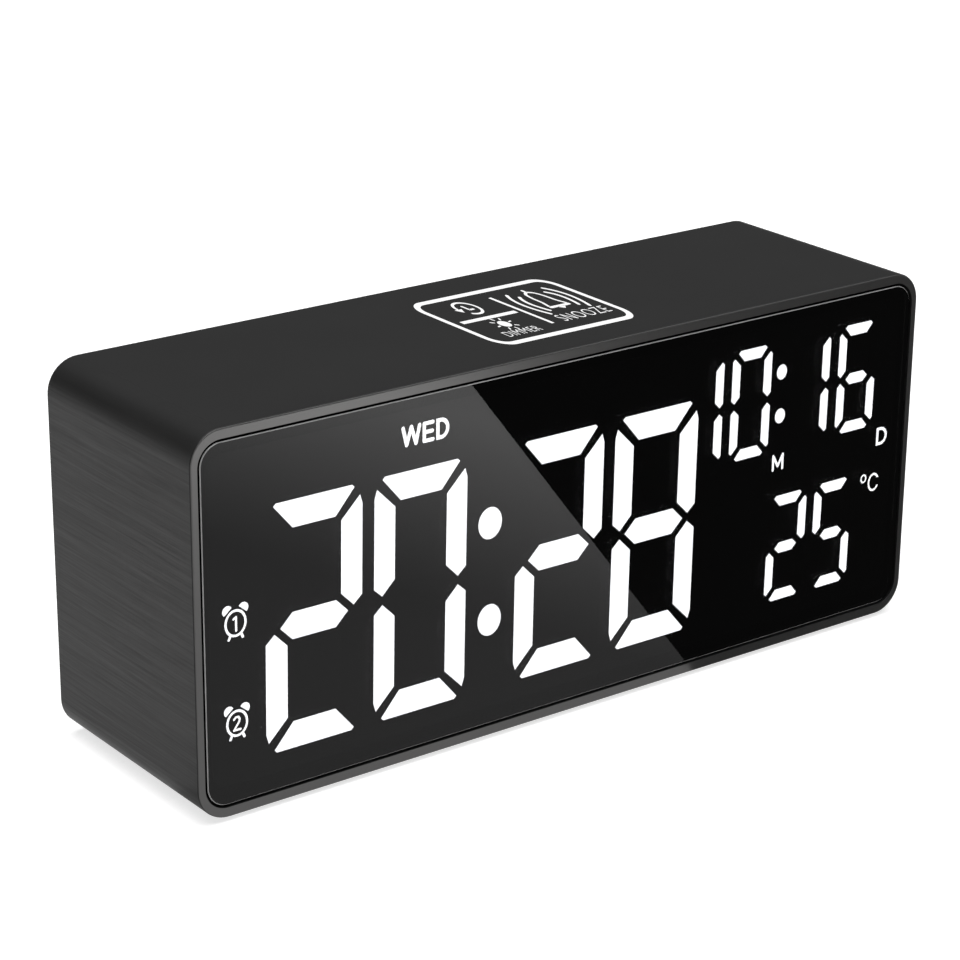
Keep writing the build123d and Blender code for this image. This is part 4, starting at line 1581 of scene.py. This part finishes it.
@dataclass
class Cells:
    """AAA cells, each a steel can in a printed sleeve, laid in turn each way round.

    Attributes:
        bay: How they lie.
        radius: Radius of the sleeve in millimetres.
        skin: Thickness of the sleeve.
        nub_length: How far the positive nub stands out.
        nub_radius: Radius of the nub.
        band_start: From the can's shoulder to the sleeve's end band.
        band_length: Length of the band.
        bare_end: Length of bare can at the flat end.
    """

    bay: BayRows = BayRows()
    radius: float = 5.25
    skin: float = 0.12
    nub_length: float = 1.2
    nub_radius: float = 1.9
    band_start: float = 0.55
    band_length: float = 9.5
    bare_end: float = 0.7

    def profiles(self) -> tuple[np.ndarray, np.ndarray, np.ndarray]:
        """Outlines of can, band and sleeve.

        Returns:
            For each, rows of the distance from the nub's tip and the radius, in metres.
        """
        nub, tip, end = self.nub_radius, self.nub_length, self.bay.length
        can = self.radius - self.skin
        metal = np.array([
            (0.0, nub - 0.5), (0.12, nub - 0.15), (0.4, nub), (tip - 0.05, nub),
            (tip, nub + 0.15), (tip, can - 1.2), (tip - 0.12, can - 0.9), (tip, can - 0.35),
            (tip + 0.4, can), (end - 0.5, can), (end - 0.15, can - 0.2), (end, can - 0.6),
            (end, 0.4),
        ])
        first = tip + self.band_start
        start, stop, lap = first + self.band_length, end - self.bare_end, 0.05
        band = [(first, can), (first + lap, self.radius), (start, self.radius), (start, can)]
        sleeve = [(start, can), (start, self.radius), (stop - lap, self.radius), (stop, can)]
        return metal * MM, np.array(band) * MM, np.array(sleeve) * MM

    def build(self, palette: Palette) -> None:
        """Make the cells where the CAD has them.

        Args:
            palette: The clock's finishes.
        """
        low, high = node_box("aaa_cells")
        middle = (low + high) / 2
        finishes = (palette.nickel, palette.sleeve_band, palette.sleeve)
        solids = []
        for up, way in self.bay.places():
            tip_x = float(high[0]) if way < 0 else float(low[0])
            centre = (tip_x, float(middle[1]), float(middle[2]) + up)
            for profile, finish in zip(self.profiles(), finishes):
                solids.append((lathe(profile, centre, way), finish.material()))
        piece = make_piece("cells", solids, ROOT_BODY)
        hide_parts("aaa_cells")


@dataclass
class Springs:
    """Conical wire springs that press on the cells' flat ends, each on a plated tab.

    Attributes:
        bay: How the cells lie.
        base: Radius of the lowest turn in millimetres.
        top: Radius of the last turn.
        wire: Wire radius.
        turns: Number of turns.
        steps: Number of points along the wire.
        tab: Thickness, width and height of a tab.
    """

    bay: BayRows = BayRows()
    base: float = 3.1
    top: float = 1.9
    wire: float = 0.25
    turns: float = 4.5
    steps: int = 200
    tab: Point3 = (0.4, 6.0, 7.2)

    def coil(self, root: np.ndarray, direction: float, height: float) -> Solid:
        """One spring.

        With t from 0 to 1, the angle is 2 pi turns t, the radius runs evenly from base to top,
        and the height along X is direction (wire + (height - 2 wire) t).

        Args:
            root: Where its axis meets the tab, in metres.
            direction: +1 or -1, the way along X in which it stands out.
            height: Its height in metres.

        Returns:
            The shell.
        """
        t = np.linspace(0.0, 1.0, self.steps)
        angle = 2.0 * np.pi * self.turns * t
        radius = (self.base + (self.top - self.base) * t) * MM
        wire = self.wire * MM
        along = direction * (wire + (height - 2.0 * wire) * t)
        path = np.stack([along, radius * np.cos(angle), radius * np.sin(angle)], axis=1)
        return tube(path + root, wire)

    def build(self, palette: Palette) -> None:
        """Make springs and tabs where the CAD has its cones.

        Args:
            palette: The clock's finishes.
        """
        low, high = node_box("negative_springs")
        middle = (low + high) / 2
        thick, wide, tall = (side * MM for side in self.tab)
        material = palette.nickel.material()
        solids = []
        for up, way in self.bay.places():
            wall = float(high[0]) if way > 0 else float(low[0])
            root = np.array([wall - way * thick, float(middle[1]), float(middle[2]) + up])
            half = np.array([0.0, wide / 2, tall / 2])
            ends = np.array([root, [wall, root[1], root[2]]])
            solids.append((block(ends.min(axis=0) - half, ends.max(axis=0) + half), material))
            solids.append((self.coil(root, -way, self.room() - thick), material))
        piece = make_piece("cell_springs", solids, ROOT_BODY)
        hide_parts("negative_springs")

    def room(self) -> float:
        """Distance in metres from the bay's wall to a cell's flat end."""
        gap = node_box("aaa_cells")[1][0] - node_box("positive_contacts")[0][0]
        return float(gap) - self.bay.length * MM


# ------------------------------------------------------------------------------------------------
# Stage
# ------------------------------------------------------------------------------------------------
@dataclass
class Camera:
    """Long-lens view of the clock from the front left, a little above.

    Attributes:
        yaw: Turn of the view from straight ahead, in degrees.
        pitch: Look down, in degrees.
        roll: Tilt of the picture, in degrees.
        lens: Focal length in millimetres.
        sensor: Width of the sensor in millimetres.
        nearest: Distance of the nearest thing that it sees, in metres.
        place: Camera position from the middle of the body's underside, in body widths.
    """

    yaw: float = 37.08
    pitch: float = 20.44
    roll: float = 0.55
    lens: float = 110.3
    sensor: float = 36.0
    nearest: float = 0.01
    place: Point3 = (-1.909, -2.482, 1.396)

    def turn(self) -> Matrix:
        """Work out how the camera is turned.

        Returns:
            Matrix whose columns are the camera's right, up and backward directions.
        """
        yaw, pitch, roll = (math.radians(turn) for turn in (self.yaw, self.pitch, self.roll))
        level = math.cos(pitch)
        ahead = Vector((math.sin(yaw) * level, math.cos(yaw) * level, -math.sin(pitch)))
        level_right = Vector((math.cos(yaw), -math.sin(yaw), 0.0))
        level_up = level_right.cross(ahead)
        right = level_right * math.cos(roll) + level_up * math.sin(roll)
        up = level_up * math.cos(roll) - level_right * math.sin(roll)
        return Matrix((right, up, -ahead)).transposed().to_4x4()

    def build(self) -> None:
        """Make the camera and hand it to the scene."""
        low, high = node_box("housing")
        middle = (low + high) / 2
        ground = np.array([middle[0], middle[1], low[2]])
        spot = ground + np.array(self.place) * float(high[0] - low[0])
        data = bpy.data.cameras.new("camera")
        data.lens = self.lens
        data.sensor_width = self.sensor
        data.clip_start = self.nearest
        camera = bpy.data.objects.new("camera", data)
        camera.matrix_world = Matrix.Translation(Vector(spot)) @ self.turn()
        bpy.context.scene.collection.objects.link(camera)
        bpy.context.scene.camera = camera


@dataclass
class SoftBox:
    """Rectangular soft light that looks at a point.

    Attributes:
        name: Name of the light.
        place: Where it is, in metres.
        target: What it looks at.
        size: Width and height.
        power: Power in watts.
    """

    name: str
    place: Point3
    target: Point3
    size: Point2
    power: float

    def build(self) -> None:
        """Make the light."""
        data = bpy.data.lights.new(self.name, "AREA")
        data.shape = "RECTANGLE"
        data.size, data.size_y = self.size
        data.energy = self.power
        light = bpy.data.objects.new(self.name, data)
        spot, look = Vector(self.place), Vector(self.target)
        turn = (look - spot).to_track_quat("-Z", "Y").to_matrix().to_4x4()
        light.matrix_world = Matrix.Translation(spot) @ turn
        bpy.context.scene.collection.objects.link(light)


@dataclass
class Stage:
    """Pale floor, soft lights, a dim room and two cards that only reflections see.

    Attributes:
        floor_half: Half the floor's side in metres.
        room: Light of the room away from the lamps.
        line_near: A point of the line between the cards, close to the clock.
        line_far: A second point on that line.
        line_span: Where the cards start and stop on the line, in steps from near to far point.
        card_height: Height of the cards over the floor in metres.
        grey_reach: How far the grey card reaches to the right of the line, in metres.
        black_reach: The same for the black card.
        lights: The lamps.
    """

    floor_half: float = 3.0
    room: float = 0.108
    line_near: Point2 = (0.0301, -0.0287)
    line_far: Point2 = (0.0947, -0.182)
    line_span: Point2 = (-0.12, 8.0)
    card_height: float = 0.1 * MM
    grey_reach: float = -2.0
    black_reach: float = 3.0
    lights: list[SoftBox] = field(default_factory=lambda: [
        SoftBox("overhead", (-0.1, -0.1, 1.2), (0.0, 0.0, 0.0), (1.4, 1.4), 24.0),
        SoftBox("edge_light", (0.85, -0.55, 1.19), (0.0, -0.023, 0.069), (0.6, 0.6), 1.5),
    ])

    def build(self) -> None:
        """Make floor, cards, lights and world, and keep plain colours."""
        h = self.floor_half
        square = [(-h, -h, 0.0), (h, -h, 0.0), (h, h, 0.0), (-h, h, 0.0)]
        self.flat("floor", square, StageFinish("stage_floor"))
        grey_card = CardFinish("grey_card_board", near=0.275, far=0.93)
        self.card("grey_card", self.grey_reach, grey_card)
        self.card("black_card", self.black_reach, CardFinish("black_card_board"))
        for light in self.lights:
            light.build()
        self.world()
        view = bpy.context.scene.view_settings
        view.view_transform = "Standard"
        view.look = "None"

    def flat(self, name: str, corners: Sequence[Point3], finish: Finish) -> bpy.types.Object:
        """Make one flat stage face.

        Args:
            name: Its name.
            corners: Its corners in metres.
            finish: What it wears.

        Returns:
            The new object.
        """
        mesh = bpy.data.meshes.new(name)
        mesh.from_pydata(list(corners), [], [tuple(range(len(corners)))])
        mesh.materials.append(finish.material())
        piece = bpy.data.objects.new(name, mesh)
        bpy.context.scene.collection.objects.link(piece)
        return piece

    def card(self, name: str, reach: float, finish: Finish) -> None:
        """Lay a card beside the slanting line, just over the floor, for reflections alone.

        Args:
            name: Its name.
            reach: How far it reaches to the right of the line, in metres.
            finish: What it wears.
        """
        near, way = np.array(self.line_near), np.array(self.line_far) - np.array(self.line_near)
        start, stop = (near + way * step for step in self.line_span)
        over = np.array([reach, 0.0])
        corners = [(*spot, self.card_height) for spot in (start, stop, stop + over, start + over)]
        card = self.flat(name, corners, finish)
        card.visible_camera = False
        card.visible_diffuse = False
        card.visible_shadow = False

    def world(self) -> None:
        """White behind the clock, and a dimmer even light everywhere else."""
        world = bpy.data.worlds.new("room")
        world.use_nodes = True
        bpy.context.scene.world = world
        paint = Painter(world.node_tree)
        seen = paint.add("LightPath").outputs["Is Camera Ray"]
        colour = paint.mix(seen, grey(self.room), grey(1.0))
        paint.fill(world.node_tree.nodes["Background"], {"Color": colour})


def main() -> None:
    """Build the clock's looks, part by part."""
    logging.basicConfig(level=logging.INFO, format="%(name)s: %(message)s")
    palette = Palette()
    Camera().build()
    Stage().build()
    dress_nodes(palette)
    for part in (TopPrint(), RearPrint(), Cells(), Springs()):
        part.build(palette)


if __name__ == "__main__":
    main()
